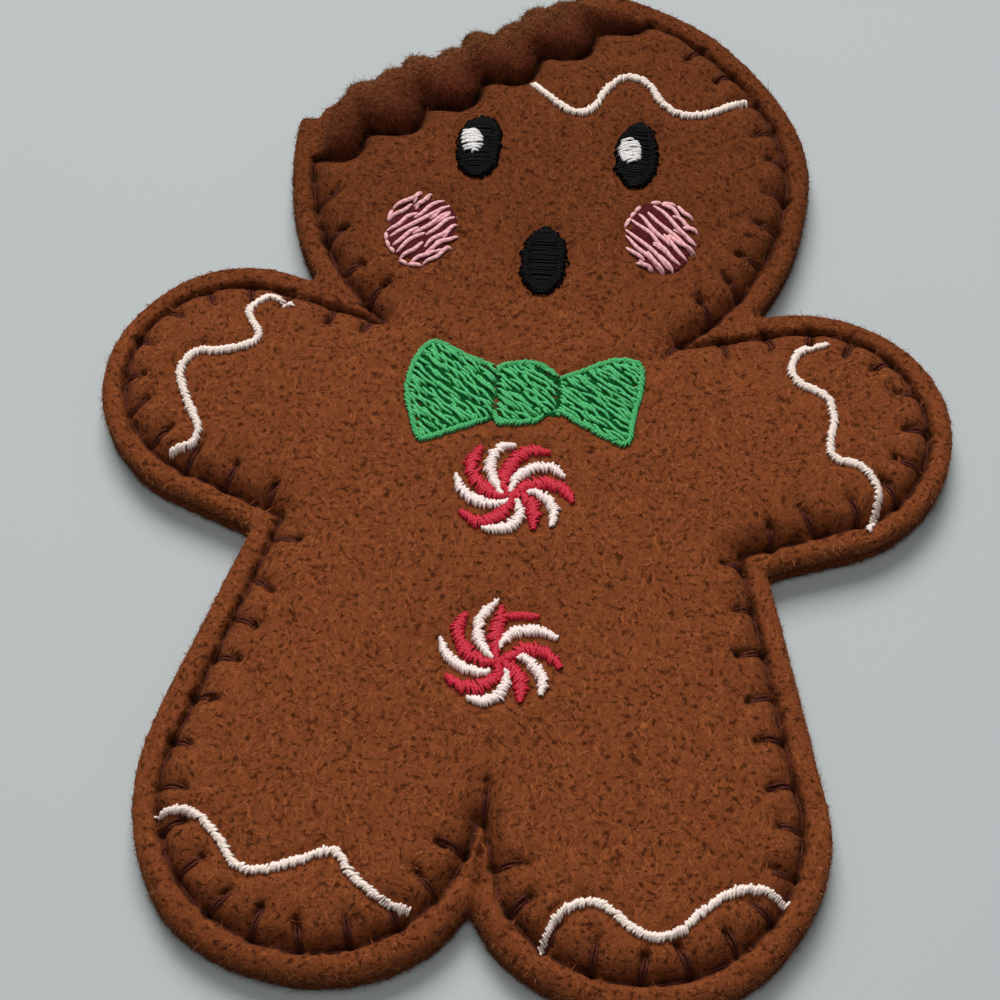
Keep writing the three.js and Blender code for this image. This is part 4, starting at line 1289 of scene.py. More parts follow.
def slab(name, outline, thickness, net):
    """A flat layer cut to an outline, with an even net of faces all over."""
    deselect_all()
    bpy.ops.mesh.primitive_circle_add(vertices=len(outline), radius=MM, fill_type="NGON")
    piece = bpy.context.object
    piece.name = name
    piece.data.name = name
    write_points(piece.data, np.column_stack([outline, np.zeros(len(outline))]))
    layer = piece.modifiers.new("Layer", "SOLIDIFY")
    layer.thickness = thickness
    layer.offset = 1
    bpy.ops.object.modifier_apply(modifier=layer.name)
    bpy.ops.object.mode_set(mode="EDIT")
    bpy.ops.mesh.select_all(action="SELECT")
    bpy.ops.mesh.normals_make_consistent(inside=False)
    bpy.ops.object.mode_set(mode="OBJECT")
    even = piece.modifiers.new("Even net", "REMESH")
    even.mode = "VOXEL"
    even.voxel_size = net
    bpy.ops.object.modifier_apply(modifier=even.name)
    return piece


def refine(piece, chart):
    """Splits the top faces near the seam and its prongs once more."""
    mesh = piece.data
    middle = np.zeros(len(mesh.polygons) * 3)
    mesh.polygons.foreach_get("center", middle)
    x, y, z = middle.reshape(-1, 3).T
    close = np.minimum(np.abs(chart.sample(chart.from_seam, x, y)), chart.sample(chart.to_prong, x, y))
    wanted = (close < REFINED) & (z > 0.9 * z.max())
    activate(piece)
    bpy.ops.object.mode_set(mode="EDIT")
    bpy.ops.mesh.select_mode(type="FACE")
    bpy.ops.mesh.select_all(action="DESELECT")
    bpy.ops.object.mode_set(mode="OBJECT")
    mesh.polygons.foreach_set("select", wanted)
    bpy.ops.object.mode_set(mode="EDIT")
    bpy.ops.mesh.subdivide(number_cuts=1)
    bpy.ops.object.mode_set(mode="OBJECT")


def fit_between(piece, lower, upper):
    """Moves a flat layer's faces onto two surfaces, each a height for any place."""
    points = read_points(piece.data)
    x, y, share = points.T
    low, high = share.min(), share.max()
    share = np.clip((share - low) / (high - low), 0, 1)
    bottom = lower(x, y)
    points[:, 2] = bottom + (upper(x, y) - bottom) * share
    write_points(piece.data, points)


def grid_height(grid):
    """A height grid as a surface to fit a layer onto."""
    return functools.partial(plan().sample, grid)


def roughen(piece, size, height, depth):
    """Woolly unevenness, pushed along the surface's normals."""
    clouds = bpy.data.textures.new(piece.name + "_wool", "CLOUDS")
    clouds.noise_scale = size
    clouds.noise_depth = depth
    wool = piece.modifiers.new("Wool", "DISPLACE")
    wool.texture = clouds
    wool.texture_coords = "LOCAL"
    wool.strength = height
    wool.mid_level = 0.5
    activate(piece)
    bpy.ops.object.modifier_apply(modifier=wool.name)


def strand_mesh(name, strands, radius, tones, taper=THREAD_TAPER, sides=THREAD_SIDES):
    """Round threads along lines, each with its length and turn in a UV map.

    Taper gives the share of the radius at the ends, and how late the thread narrows.
    """
    points = []
    faces = []
    places = []
    point_tones = []
    first = 0
    turn = np.linspace(0, 2 * math.pi, sides, endpoint=False)
    for strand, tone in zip(strands, tones):
        count = len(strand)
        run = directions(strand)
        side = np.column_stack([run[:, 1], -run[:, 0], np.zeros(count)])
        side /= np.maximum(np.linalg.norm(side, axis=1, keepdims=True), 1e-9)
        up = np.cross(side, run)
        wide = radius * (1 - (1 - taper[0]) * np.abs(np.linspace(-1, 1, count)) ** taper[1])
        ring = side[:, None] * np.cos(turn)[None, :, None]
        ring = ring + up[:, None] * np.sin(turn)[None, :, None] * THREAD_FLATNESS
        points.append((strand[:, None] + ring * wide[:, None, None]).reshape(-1, 3))
        walked = np.concatenate([[0], np.cumsum(np.linalg.norm(np.diff(strand, axis=0), axis=1))])
        walked = walked / (2 * radius)
        for k in range(count - 1):
            for s in range(sides):
                a = first + k * sides
                b = a + sides
                t = (s + 1) % sides
                faces.append((a + s, a + t, b + t, b + s))
                u, v = walked[k], walked[k + 1]
                p, q = s / sides, (s + 1) / sides
                places.append((u, p, u, q, v, q, v, p))
        faces.append(tuple(first + s for s in reversed(range(sides))))
        faces.append(tuple(first + (count - 1) * sides + s for s in range(sides)))
        places.append((walked[0], 0.5) * sides)
        places.append((walked[-1], 0.5) * sides)
        # Painted shade toward the sunk ends of each thread.
        sunk = np.abs(np.linspace(-1, 1, count)) ** 4
        point_tones.append(np.repeat(tone * (1 - END_SHADE * sunk), sides))
        first += count * sides
    piece = link_mesh(name, to_part(np.vstack(points)), faces)
    held = piece.data.uv_layers.new(name=STRAND_UV)
    held.uv.foreach_set("vector", np.concatenate([np.asarray(p, np.float32) for p in places]))
    add_numbers(piece.data, STRAND_TONE, np.concatenate(point_tones))
    return piece


def draped(stitches):
    """Stitches laid on the front felt."""
    x, y, rise = np.vstack(stitches).T
    laid = np.column_stack([x, y, relief().height(x, y) + rise])
    return np.split(laid, np.cumsum([len(stitch) for stitch in stitches])[:-1])


def make_patch(patch):
    """An embroidered piece from its patch."""
    thread = settings().thread
    rng = np.random.default_rng(SEED + len(patch.node) + len(patch.threads))
    # Underlay threads get no tone, so they take the shade colour: painted shade between the top threads.
    tones = [*rng.uniform(0.35, 1, len(patch.threads)), *np.zeros(len(patch.underlay))]
    strands = draped(patch.threads + patch.underlay)
    piece = strand_mesh(patch.node + "_threads", strands, thread.radius * patch.weight, tones, patch.taper)
    return finish_piece(piece, thread_finish(patch.finish), patch.slot, patch.node)


# Finishes.


class Wire:
    """A shader socket that can be used in Python expressions."""

    def __init__(self, finish, node, socket):
        self.finish = finish
        self.node = node
        self.socket = socket

    def pick(self, name):
        """Another output of the same node."""
        return Wire(self.finish, self.node, self.node.outputs[name])

    def __add__(self, other):
        return self.finish.maths("ADD", self, other)

    def __sub__(self, other):
        return self.finish.maths("SUBTRACT", self, other)

    def __mul__(self, other):
        return self.finish.maths("MULTIPLY", self, other)

    def __rsub__(self, other):
        return self.finish.maths("SUBTRACT", other, self)

    __radd__ = __add__
    __rmul__ = __mul__


class Finish:
    """A material built from nodes."""

    def __init__(self, name):
        self.material = bpy.data.materials.new(name)
        self.material.use_nodes = True
        self.tree = self.material.node_tree
        self.tree.nodes.clear()

    def node(self, kind, values=None, output=0, **options):
        """Adds a node with its settings, then the values or links of its sockets."""
        made = self.tree.nodes.new(kind)
        for name, value in options.items():
            setattr(made, name, value)
        for name, value in (values or {}).items():
            if isinstance(value, Wire):
                self.tree.links.new(value.socket, made.inputs[name])
            else:
                made.inputs[name].default_value = value
        if not made.outputs:
            return None
        return Wire(self, made, made.outputs[output])

    def maths(self, operation, *values, clamp=False):
        return self.node("ShaderNodeMath", dict(enumerate(values)), operation=operation, use_clamp=clamp)

    def place(self):
        """The place on a piece."""
        return self.node("ShaderNodeTexCoord", output="Object")

    def held(self, name):
        """A number that a mesh holds for each of its points."""
        return self.node("ShaderNodeAttribute", output="Fac", attribute_name=name)

    def clamped(self, value):
        return self.maths("ADD", value, 0.0, clamp=True)

    def blend(self, share, low, high):
        """A colour between two others."""
        tints = {0: share, 6: opaque(low), 7: opaque(high)}
        return self.node("ShaderNodeMix", tints, output=2, data_type="RGBA")

    def noise(self, place, size, detail=1.0, output=0):
        """Soft random values, with lumps of a given size."""
        values = {"Vector": place, "Scale": 1 / size, "Detail": detail}
        return self.node("ShaderNodeTexNoise", values, output=output)

    def close(self, colours, height, bump, roughness, **steady):
        """Ends the material in one shader, with a bump from a height."""
        normal = self.node("ShaderNodeBump", {"Height": height, "Strength": 1.0, "Distance": bump})
        values = {"Base Color": colours, "Roughness": roughness, "Normal": normal}
        values.update({name.replace("_", " "): value for name, value in steady.items()})
        shader = self.node("ShaderNodeBsdfPrincipled", values)
        self.node("ShaderNodeOutputMaterial", {"Surface": shader})
        return self.material


def opaque(tint):
    """A colour with full alpha, or a wire as it is."""
    return tint if isinstance(tint, Wire) else (*tint, 1)


def fibrous(finish, place):
    """Matted fibres: strokes of the topmost ones, and the soft pits between them, which also carry painted
    shade.
    """
    sway = finish.noise(place, 3 * MM, 1, output="Color")
    reach = (1.4 * MM,) * 3
    moved = finish.node("ShaderNodeVectorMath", {0: sway, 1: reach, 2: place}, operation="MULTIPLY_ADD")
    strokes = 0.0
    for angle in (0.8, 1.55, 2.3):
        values = {"Vector": moved, "Rotation": (0, 0, angle), "Scale": FIBRE_STROKE}
        turned = finish.node("ShaderNodeMapping", values, vector_type="TEXTURE")
        strokes = finish.maths("MAXIMUM", finish.clamped((finish.noise(turned, 1, 1) - 0.52) * 4), strokes)
    pits = finish.clamped((0.47 - finish.noise(moved, PIT_SIZE, 1.5)) * 5.5)
    return strokes, pits


def head_shade(finish, place, tint):
    """Painted shade: a tint a little deeper toward the head, for the dimmer light there."""
    upward = finish.node("ShaderNodeSeparateXYZ", {"Vector": place}, output="Y")
    return finish.blend(finish.clamped((upward - HEAD_SHADE_FROM) * (1 / HEAD_SHADE_RUN)) * HEAD_SHADE_SHARE, tint, (0, 0, 0))


def wall_shaded(finish, tint):
    """A tint with painted shade on the cut wall, for the shadow that falls on the felt's cut side."""
    wall = finish.held("wall")
    return finish.blend(wall * WALL_SHADE_TINT, tint, settings().felt.cut)


@functools.cache
def felt_finish():
    felt = settings().felt
    finish = Finish("brown_felt")
    place = finish.place()
    strokes, pits = fibrous(finish, place)
    mottle = finish.clamped((finish.noise(place, 2.6 * MM, 2) - 0.35) * 2.2)
    band = finish.held("band")
    crease_shade = finish.held("crease_shade")
    body = finish.blend(mottle * 0.35, felt.base, [c * 0.7 for c in felt.base])
    wool = finish.blend(strokes * 0.5, body, felt.fibre)
    # Painted shade on the band outside the bite.
    band_shaded = finish.blend(band * BAND_SHADE_TINT, head_shade(finish, place, wool), felt.band)
    deep = finish.blend(pits * FELT_PIT_SHADE, wall_shaded(finish, band_shaded), felt.pit_shade)
    tint = finish.blend(crease_shade * FELT_CREASE_SHADE, deep, felt.crease_shade)
    height = strokes * 0.5 - pits + finish.noise(place, 0.25 * MM, 1) * 0.3
    return finish.close(
        tint, height, 0.07 * MM, 1.0, Sheen_Weight=0.03, Sheen_Roughness=0.5,
        Sheen_Tint=(1, 0.55, 0.3, 1), Specular_IOR_Level=0.05)


@functools.cache
def fibre_finish(lightest):
    """Loose fibres whose lightest tone is named, sunk in the same pits as the felt under them."""
    felt = settings().felt
    finish = Finish("felt_" + lightest)
    tone = finish.held(STRAND_TONE)
    place = finish.place()
    _, pits = fibrous(finish, place)
    band = finish.held("band")
    crease_shade = finish.held("crease_shade")
    tint = finish.blend(tone, felt.fibre_deep, getattr(felt, lightest))
    tint = finish.blend(band * BAND_SHADE_TINT, head_shade(finish, place, tint), felt.band)
    tint = finish.blend(pits * NAP_PIT_SHADE[lightest], wall_shaded(finish, tint), felt.pit_shade)
    tint = finish.blend(crease_shade * NAP_CREASE_SHADE, tint, felt.crease_shade)
    return finish.close(tint, pits, 0.01 * MM, 0.95, Specular_IOR_Level=0.05)


@functools.cache
def thread_finish(shade):
    """Twisted thread with a slight gloss, with painted shade between its plies, toward its sunk ends and
    over the underlay.
    """
    thread = settings().thread
    deep = {"pink": "plum", "glint": "white_deep", "sugar": "white_deep"}.get(shade, shade + "_deep")
    finish = Finish(shade + "_thread_finish")
    place = finish.node("ShaderNodeUVMap", uv_map=STRAND_UV)
    split = finish.node("ShaderNodeSeparateXYZ", {"Vector": place})
    tone = finish.held(STRAND_TONE)
    phase = (split.pick("X") * 0.75 + split.pick("Y") * 2) * (2 * math.pi)
    ply = finish.maths("SINE", phase) * 0.5 + 0.5
    spot = finish.place()
    wear = finish.noise(spot, 0.5 * MM, 2)
    lit = finish.clamped(tone * 2.6 - 0.1)
    share = finish.clamped(lit * (0.68 + ply * 0.22 + wear * 0.3))
    tint = finish.blend(share, getattr(thread, deep), getattr(thread, shade))
    gloss = {"black": 0.06, "brown": 0.02, "pink": 0.08, "green": 0.15}.get(shade, 0.3)
    rough = 1 - lit * (0.55 - wear * 0.25)
    return finish.close(
        tint, ply * 0.8 + wear * 0.5, 0.025 * MM, rough, Specular_IOR_Level=gloss,
        Specular_Tint=opaque(thread.sheen if shade == "brown" else (1, 1, 1)))


@functools.cache
def batting_finish(name, size):
    felt = settings().felt
    finish = Finish(name)
    place = finish.place()
    strokes, pits = fibrous(finish, place)
    cloud = finish.noise(place, size, 2)
    shade = finish.clamped(pits * 0.5 + cloud * 0.2)
    tint = finish.blend(shade, felt.batting, [c * 0.7 for c in felt.batting])
    return finish.close(tint, strokes + cloud, 0.1 * MM, 0.95, Sheen_Weight=0.2)


# Operators.


class ORNAMENT_OT_stage(bpy.types.Operator):
    """Adds the floor, the lights and the camera"""

    bl_idname = "ornament.stage"
    bl_label = "Stage"

    def execute(self, context):
        stage = settings().stage
        self.make_camera(context.scene, stage)
        deselect_all()
        bpy.ops.mesh.primitive_plane_add(size=3, location=(0, 0, -0.02 * MM))
        floor = context.object
        floor.name = "floor"
        bpy.ops.object.transform_apply(location=True)
        finish = Finish("pale_floor")
        place = finish.place()
        cloud = finish.noise(place, 30 * MM, 2)
        tint = finish.blend(cloud * 0.3, stage.floor, [c * 0.93 for c in stage.floor])
        floor.data.materials.append(finish.close(tint, cloud, 0.02 * MM, 0.85))
        self.add_lamp("key", (-0.12, 0.55, 0.68), 0.5, stage.key_power)
        self.add_lamp("overhead", (0, -0.06, 0.22), 0.1, stage.fill_power)
        world = bpy.data.worlds.new("soft_room")
        world.use_nodes = True
        world.node_tree.nodes["Background"].inputs["Color"].default_value = (0.97, 0.98, 1, 1)
        world.node_tree.nodes["Background"].inputs["Strength"].default_value = stage.world_level
        context.scene.world = world
        context.scene.view_settings.view_transform = "Standard"
        return {"FINISHED"}

    def make_camera(self, scene, stage):
        across = Vector((math.cos(stage.camera_turn), math.sin(stage.camera_turn), 0))
        upward = Vector((-across.y, across.x, 0))
        target = across * -stage.camera_slide + Vector((0, figure_shift(), stage.focus_height))
        back = upward * -math.sin(stage.camera_tilt) + Vector((0, 0, math.cos(stage.camera_tilt)))
        lens = bpy.data.cameras.new("photo_camera")
        lens.sensor_width = 36
        lens.lens = stage.lens
        lens.clip_start = MM
        camera = bpy.data.objects.new("photo_camera", lens)
        scene.collection.objects.link(camera)
        axes = Matrix((across, back.cross(across), back)).transposed()
        camera.matrix_world = Matrix.Translation(target + back * stage.camera_distance) @ axes.to_4x4()
        scene.camera = camera

    def add_lamp(self, name, place, size, power):
        lamp = bpy.data.lights.new(name, "AREA")
        lamp.size = size
        lamp.energy = power
        holder = bpy.data.objects.new(name, lamp)
        holder.location = place
        holder.rotation_euler = (-Vector(place)).to_track_quat("-Z", "Y").to_euler()
        bpy.context.scene.collection.objects.link(holder)


class ORNAMENT_OT_front_felt(bpy.types.Operator):
    """Makes the front felt layer, swollen over the filling and drawn in along its stitches"""

    bl_idname = "ornament.front_felt"
    bl_label = "Front felt"

    def execute(self, context):
        chart = plan()
        felt = settings().felt
        piece = slab("felt_front", chart.cut, felt.thickness, FRONT_NET)
        refine(piece, chart)
        x, y, share = read_points(piece.data).T
        _, dark = relief().stitched(x, y)
        add_numbers(piece.data, "crease_shade", dark * (share > 0.5 * felt.thickness))
        add_numbers(piece.data, "band", chart.sample(relief().band_shade, x, y))
        fit_between(piece, grid_height(relief().under), relief().height)
        roughen(piece, *FRONT_WOOL)
        points = read_points(piece.data)
        add_numbers(piece.data, "wall", relief().wall(*points.T))
        write_points(piece.data, to_part(points))
        finish_piece(piece, felt_finish(), "brown_felt", "front_felt")
        return {"FINISHED"}


class ORNAMENT_OT_back_felt(bpy.types.Operator):
    """Makes the flat back felt layer"""

    bl_idname = "ornament.back_felt"
    bl_label = "Back felt"

    def execute(self, context):
        chart = plan()
        felt = settings().felt
        piece = slab("felt_back", chart.cut, felt.thickness, BACK_NET)
        fit_between(piece, grid_height(relief().back), grid_height(relief().back_top))
        roughen(piece, *BACK_WOOL)
        points = read_points(piece.data)
        points[:, 2] = np.maximum(points[:, 2], 0)
        for name in ("band", "crease_shade"):
            add_numbers(piece.data, name, np.zeros(len(points)))
        add_numbers(piece.data, "wall", relief().wall(*points.T))
        write_points(piece.data, to_part(points))
        finish_piece(piece, felt_finish(), "brown_felt", "back_felt")
        return {"FINISHED"}


class ORNAMENT_OT_filling(bpy.types.Operator):
    """Makes the batting and the backing sheet between the felt layers"""

    bl_idname = "ornament.filling"
    bl_label = "Filling"

    def execute(self, context):
        chart = plan()
        felt = settings().felt
        floor = np.full(chart.x.shape, felt.thickness + FILLING_FLOOR)
        loft = np.minimum(relief().under - FILLING_ROOM - felt.backing, floor + felt.filling)
        loft = np.maximum(soften(loft, 6), floor + FILLING_LEAST)
        outline = chart.traced(chart.from_seam + FILLING_INSET, INSIDE_STEP)
        batting = slab("batting", outline, felt.filling, INNER_NET)
        fit_between(batting, grid_height(floor), grid_height(loft))
        write_points(batting.data, to_part(read_points(batting.data)))
        finish_piece(batting, batting_finish("soft_batting", 2 * MM), "filling", "stuffing")
        outline = chart.traced(chart.from_seam + BACKING_INSET, INSIDE_STEP)
        backing = slab("backing_sheet", outline, felt.filling, INNER_NET)
        bottom = loft + LAYER_GAP
        fit_between(backing, grid_height(bottom), grid_height(bottom + felt.backing * 0.5))
        write_points(backing.data, to_part(read_points(backing.data)))
        finish_piece(backing, batting_finish("non_woven_backing", 0.8 * MM), "backing", "stabilizer")
        return {"FINISHED"}


class ORNAMENT_OT_nap(bpy.types.Operator):
    """Scatters loose fibres over the felt and along its cut edge"""

    bl_idname = "ornament.nap"
    bl_label = "Felt nap"

    def execute(self, context):
        felt = settings().felt
        front = bpy.data.objects["felt_front"]
        back = bpy.data.objects["felt_back"]
        for part in (1, 2, 3):
            self.lay(f"front_nap_{part}", front, felt.top_fibres, 50 + part, 1)
        self.lay("back_nap", back, felt.back_fibres, 70, -1)
        chart = plan()

        def at_edge(x, y, z, normal):
            return (chart.sample(chart.from_cut, x, y) > -EDGE_WIDTH) & (z > EDGE_FOOT)

        def on_band(x, y, z, normal):
            banded = chart.sample(chart.band, x, y) > BAND_OVER
            return banded & (z > BAND_FOOT) & (normal[:, 2] > BAND_FACING)

        self.fringe("edge_nap", [front, back], felt.edge_fibres, 60, at_edge, EDGE_LENGTH)
        self.fringe("band_nap", [front], felt.band_fibres, 61, on_band, BAND_LENGTH)
        return {"FINISHED"}

    def roots(self, pieces, count, wanted, rng):
        """Random places on the wanted faces of some pieces, with the faces' normals."""
        corners = []
        for piece in pieces:
            mesh = piece.data
            mesh.calc_loop_triangles()
            index = np.zeros(len(mesh.loop_triangles) * 3, np.int32)
            mesh.loop_triangles.foreach_get("vertices", index)
            corners.append(read_points(mesh)[index].reshape(-1, 3, 3))
        corners = np.vstack(corners)
        normal = np.cross(corners[:, 1] - corners[:, 0], corners[:, 2] - corners[:, 0])
        area = np.linalg.norm(normal, axis=1)
        normal /= np.maximum(area, 1e-15)[:, None]
        chance = area * wanted(corners.mean(axis=1), normal)
        chosen = rng.choice(len(area), count, p=chance / chance.sum())
        a, b = rng.uniform(0, 1, (2, count, 1))
        a, b = np.where(a + b > 1, 1 - a, a), np.where(a + b > 1, 1 - b, b)
        tri = corners[chosen]
        root = tri[:, 0] + a * (tri[:, 1] - tri[:, 0]) + b * (tri[:, 2] - tri[:, 0])
        return root, normal[chosen]

    def lay(self, name, piece, count, seed, facing):
        """Short flat fibres that follow a felt layer's face."""
        felt = settings().felt
        rng = np.random.default_rng(SEED + seed)
        chart = plan()

        def wanted(middle, normal):
            x, y = middle[:, 0], middle[:, 1] - figure_shift()
            clear = np.abs(chart.sample(chart.from_seam, x, y)) > SEAM_CLEAR
            bare = chart.sample(relief().press, x, y) < BARE_UNDER
            return (normal[:, 2] * facing > NAP_FACING) & (clear & bare | (facing < 0))

        root, _ = self.roots([piece], count, wanted, rng)
        angle = rng.normal(math.pi / 2, NAP_SPREAD, count)
        bent = angle + rng.normal(0, NAP_BEND, count)
        half = felt.fibre_length * rng.lognormal(0, NAP_LENGTHS, count) / 2
        behind = np.column_stack([np.cos(angle), np.sin(angle)]) * half[:, None]
        ahead = np.column_stack([np.cos(bent), np.sin(bent)]) * half[:, None]
        flat = np.stack([root[:, :2] - behind, root[:, :2], root[:, :2] + ahead], axis=1)
        spots, normals, found = self.cast(piece, flat, facing)
        found &= np.abs(np.diff(spots[:, :, 2], axis=1)).max(axis=1) < NAP_STEP
        spots, normals = spots[found], normals[found]
        run = np.gradient(spots, axis=1)
        side = np.cross(normals, run)
        side /= np.maximum(np.linalg.norm(side, axis=2, keepdims=True), 1e-12)
        wide = felt.fibre_radius * rng.lognormal(0, NAP_WIDTHS, (len(spots), 1, 1))
        reach = side * wide * np.array(NAP_SWELL)[None, :, None]
        rise = normals * rng.uniform(*NAP_RISE, (len(spots), 1, 1))
        root = spots - normals * NAP_ROOT
        ring = np.stack([spots + reach + rise, spots - reach + rise, root], axis=2)
        ring[..., 2] = np.maximum(ring[..., 2], 0)
        self.build(name, ring, fibre_finish("fibre"), rng)

    def cast(self, piece, flat, facing):
        """Where places on the plan meet a piece's face, looked at from outside."""
        mesh = piece.data
        triangles = [tuple(t.vertices) for t in mesh.loop_triangles]
        tree = BVHTree.FromPolygons(read_points(mesh).tolist(), triangles)
        along = Vector((0, 0, -facing))
        spots = np.zeros((*flat.shape[:2], 3))
        normals = np.zeros_like(spots)
        found = np.ones(len(flat), bool)
        for k, line in enumerate(flat.tolist()):
            for s, (x, y) in enumerate(line):
                place, normal, _, _ = tree.ray_cast(Vector((x, y, facing * CAST_FROM)), along)
                if place is None:
                    found[k] = False
                    break
                spots[k, s] = place
                normals[k, s] = normal
        return spots, normals, found

    def fringe(self, name, pieces, count, seed, choose, share_of_length):
        """Short fibres that stand off the chosen places."""
        felt = settings().felt
        rng = np.random.default_rng(SEED + seed)

        def wanted(middle, normal):
            return choose(middle[:, 0], middle[:, 1] - figure_shift(), middle[:, 2], normal)

        root, out = self.roots(pieces, count, wanted, rng)
        guess = rng.normal(0, 1, (count, 3))
        run = guess - out * (guess * out).sum(axis=1, keepdims=True)
        run /= np.linalg.norm(run, axis=1, keepdims=True)
        reach = felt.fibre_length * rng.lognormal(0, NAP_LENGTHS, (count, 1)) * share_of_length
        share = np.array([0, 0.5, 1])[None, :, None]
        rise = share * (reach * rng.uniform(*FRINGE_RISE, (count, 1)))[:, None] * (1.4 - 0.4 * share)
        path = root[:, None] + reach[:, None] * run[:, None] * share + out[:, None] * rise
        path[:, :, 2] = np.maximum(path[:, :, 2], FRINGE_FLOOR)
        side = np.cross(run, out)
        turn = np.array(FRINGE_CORNERS)
        circle = side[:, None] * np.cos(turn)[None, :, None] + out[:, None] * np.sin(turn)[None, :, None]
        thin = felt.fibre_radius * FRINGE_WIDTH * np.array(FRINGE_SWELL)[None, :, None, None]
        self.build(name, path[:, :, None] + circle[:, None] * thin, fibre_finish("fringe"), rng)

    def build(self, name, ring, finish, rng):
        """Three-sided fibres from their corners: fibre, step, corner, axis."""
        count, steps = ring.shape[:2]
        first = np.arange(count)[:, None, None] * steps * 3
        k = np.arange(steps - 1)[None, :, None] * 3
        s = np.arange(3)[None, None, :]
        t = (s + 1) % 3
        a = first + k
        quads = np.stack([a + s, a + t, a + 3 + t, a + 3 + s], axis=-1).reshape(-1, 4)
        start = (first[:, 0, 0])[:, None] + np.array([2, 1, 0])
        end = (first[:, 0, 0])[:, None] + (steps - 1) * 3 + np.array([0, 1, 2])
        piece = link_mesh(name, ring.reshape(-1, 3), quads.tolist() + start.tolist() + end.tolist())
        mesh = piece.data
        add_numbers(mesh, STRAND_TONE, np.repeat(rng.beta(2, 1.5, count), steps * 3))
        x, y = ring[:, 0, 0, 0], ring[:, 0, 0, 1] - figure_shift()
        dark = plan().sample(relief().band_shade, x, y)
        add_numbers(mesh, "band", np.repeat(dark, steps * 3))
        spots = ring.mean(axis=2).reshape(-1, 3)
        _, crease_shade = relief().stitched(spots[:, 0], spots[:, 1] - figure_shift())
        add_numbers(mesh, "crease_shade", np.repeat(crease_shade, 3))
        wall = relief().wall(spots[:, 0], spots[:, 1] - figure_shift(), spots[:, 2])
        add_numbers(mesh, "wall", np.repeat(wall, 3))
        finish_piece(piece, finish, "brown_felt")
        mesh.shade_flat()


class ORNAMENT_OT_blanket_stitch(bpy.types.Operator):
    """Makes the blanket stitch on the front and its bobbin side on the back"""

    bl_idname = "ornament.blanket_stitch"
    bl_label = "Blanket stitch"

    def execute(self, context):
        thread = settings().thread
        rng = np.random.default_rng(SEED + 80)
        spans = self.spans()
        front = draped(self.stitches(spans, rng, 1))
        tones = rng.uniform(0.45, 1, len(front))
        piece = strand_mesh("blanket_stitch_front", front, thread.seam_radius, tones)
        finish_piece(piece, thread_finish("brown"), "brown_thread", "seam_thread_front")
        back = []
        for stitch in self.stitches(spans, rng, 0.5):
            ground = plan().sample(relief().back, stitch[:, 0], stitch[:, 1])
            level = np.clip(ground - stitch[:, 2] * 0.5, thread.seam_radius * 0.9, None)
            back.append(np.column_stack([stitch[:, :2], level]))
        tones = rng.uniform(0.45, 1, len(back))
        piece = strand_mesh("blanket_stitch_back", back, thread.seam_radius * 0.85, tones)
        finish_piece(piece, thread_finish("brown"), "brown_thread", "seam_thread_back")
        return {"FINISHED"}

    def spans(self):
        """Stretches of the seam between one needle hole and the next."""
        seam = plan().seam
        numbers = [number for _, _, _, number in plan().prongs]
        stride = round(PRONG_PITCH / SEAM_STEP)
        stops = []
        for a, b in zip(numbers, numbers[1:] + [numbers[0] + len(seam)]):
            parts = max(1, round((b - a) / stride))
            stops.extend(a + (b - a) * k // parts for k in range(parts))
        stops.append(stops[0] + len(seam))
        return [seam[np.arange(a, b + 1) % len(seam)] for a, b in zip(stops, stops[1:])]

    def stitches(self, spans, rng, lift):
        """Doubled threads along each stretch, and up each prong."""
        made = []
        for span in spans:
            line = resample(span, 0.45 * MM)
            share = np.linspace(0, 1, len(line))
            side = leftward(directions(line))
            phase = rng.uniform(0, 6)
            for turn in (0, math.pi):
                wind = SEAM_TURN * share + phase + turn
                off = side * (SEAM_TWIST * np.cos(wind))[:, None]
                rise = lift * (SEAM_LEVEL + SEAM_RISE * np.sin(wind) - SEAM_SINK * (2 * share - 1) ** 6)
                made.append(np.column_stack([line + off, rise]))
        for root, inward, tip, _ in plan().prongs:
            side = np.array([-inward[1], inward[0]])
            sway = rng.normal(0, PRONG_SWAY, 2)
            for hand in (-1, 1):
                share = np.linspace(0, 1, 9)[:, None]
                gap = PRONG_GAP * hand * np.sin(share * 2.6 + 0.2)
                line = root + (tip + sway - root) * share + side * gap
                rise = lift * (PRONG_CROWN - PRONG_SINK * (2 * share - 1) ** 4)
                made.append(np.hstack([line, rise]))
        return made


class PatchMaker:
    """What the operators of the embroidered groups share."""

    def execute(self, context):
        for patch in embroidery()[self.group]:
            make_patch(patch)
        return {"FINISHED"}


class ORNAMENT_OT_icing(PatchMaker, bpy.types.Operator):
    """Makes the white satin icing lines"""

    bl_idname = "ornament.icing"
    bl_label = "Icing"
    group = "icing"


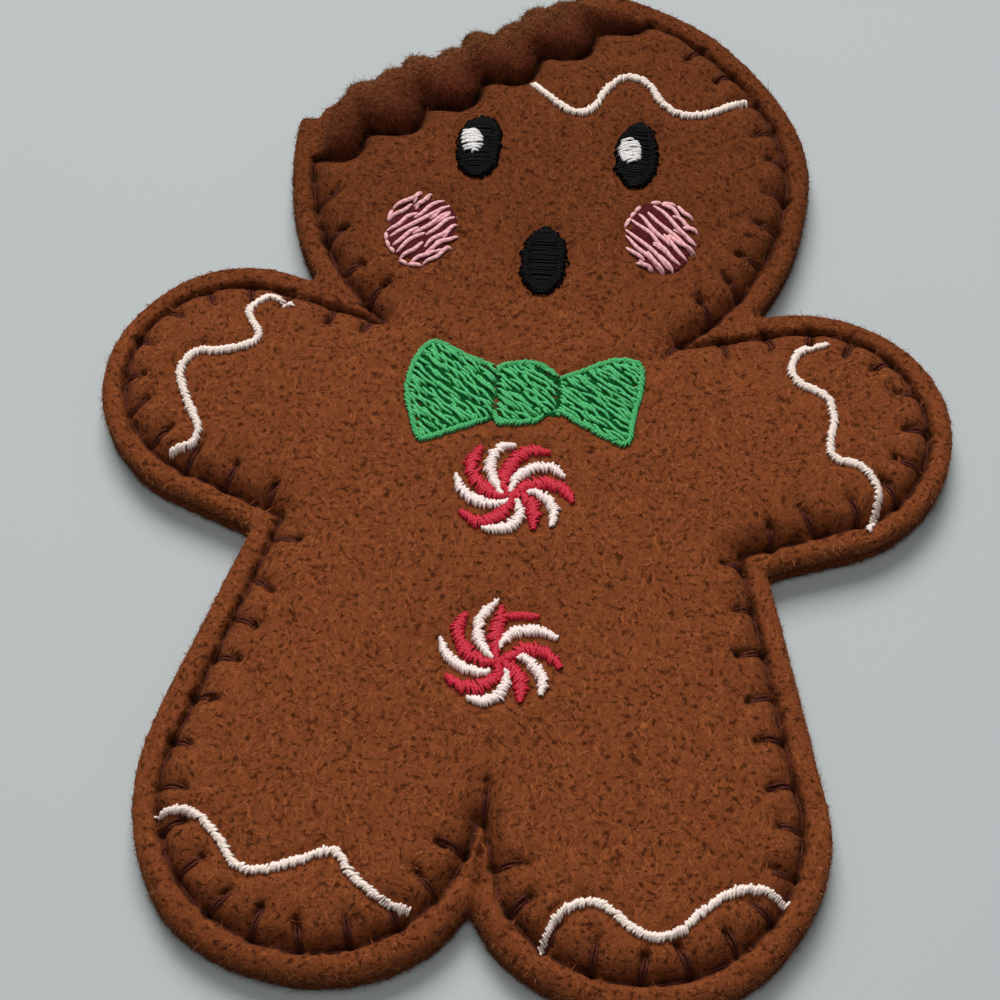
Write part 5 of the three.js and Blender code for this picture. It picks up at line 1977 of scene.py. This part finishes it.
class ORNAMENT_OT_face(PatchMaker, bpy.types.Operator):
    """Makes the eyes, their glints, the mouth and the cheeks"""

    bl_idname = "ornament.face"
    bl_label = "Face"
    group = "face"


class ORNAMENT_OT_bow_tie(PatchMaker, bpy.types.Operator):
    """Makes the bow tie's fills and satin borders"""

    bl_idname = "ornament.bow_tie"
    bl_label = "Bow tie"
    group = "bow"


class ORNAMENT_OT_sweets(PatchMaker, bpy.types.Operator):
    """Makes the red and white arms of both peppermint sweets"""

    bl_idname = "ornament.sweets"
    bl_label = "Peppermint sweets"
    group = "sweets"


OPERATORS = (
    ORNAMENT_OT_stage,
    ORNAMENT_OT_front_felt,
    ORNAMENT_OT_back_felt,
    ORNAMENT_OT_filling,
    ORNAMENT_OT_nap,
    ORNAMENT_OT_blanket_stitch,
    ORNAMENT_OT_icing,
    ORNAMENT_OT_face,
    ORNAMENT_OT_bow_tie,
    ORNAMENT_OT_sweets,
)


class ORNAMENT_PT_pieces(bpy.types.Panel):
    """Lists the ornament's pieces and settings"""

    bl_label = "Felt ornament"
    bl_idname = "ORNAMENT_PT_pieces"
    bl_space_type = "VIEW_3D"
    bl_region_type = "UI"
    bl_category = "Ornament"

    def draw(self, context):
        for operator in OPERATORS:
            self.layout.operator(operator.bl_idname)
        for group in ("figure", "felt", "thread", "stage"):
            box = self.layout.box()
            held = getattr(context.scene.ornament, group)
            for name in held.__annotations__:
                box.prop(held, name)


GROUPS = (FigureSettings, FeltSettings, ThreadSettings, StageSettings, OrnamentSettings)
CLASSES = (*GROUPS, *OPERATORS, ORNAMENT_PT_pieces)


def register():
    for item in CLASSES:
        bpy.utils.register_class(item)
    bpy.types.Scene.ornament = bpy.props.PointerProperty(type=OrnamentSettings)


def unregister():
    del bpy.types.Scene.ornament
    for item in reversed(CLASSES):
        bpy.utils.unregister_class(item)


def main():
    register()
    for operator in OPERATORS:
        group, name = operator.bl_idname.split(".")
        getattr(getattr(bpy.ops, group), name)()
    deselect_all()


if __name__ == "__main__":
    main()
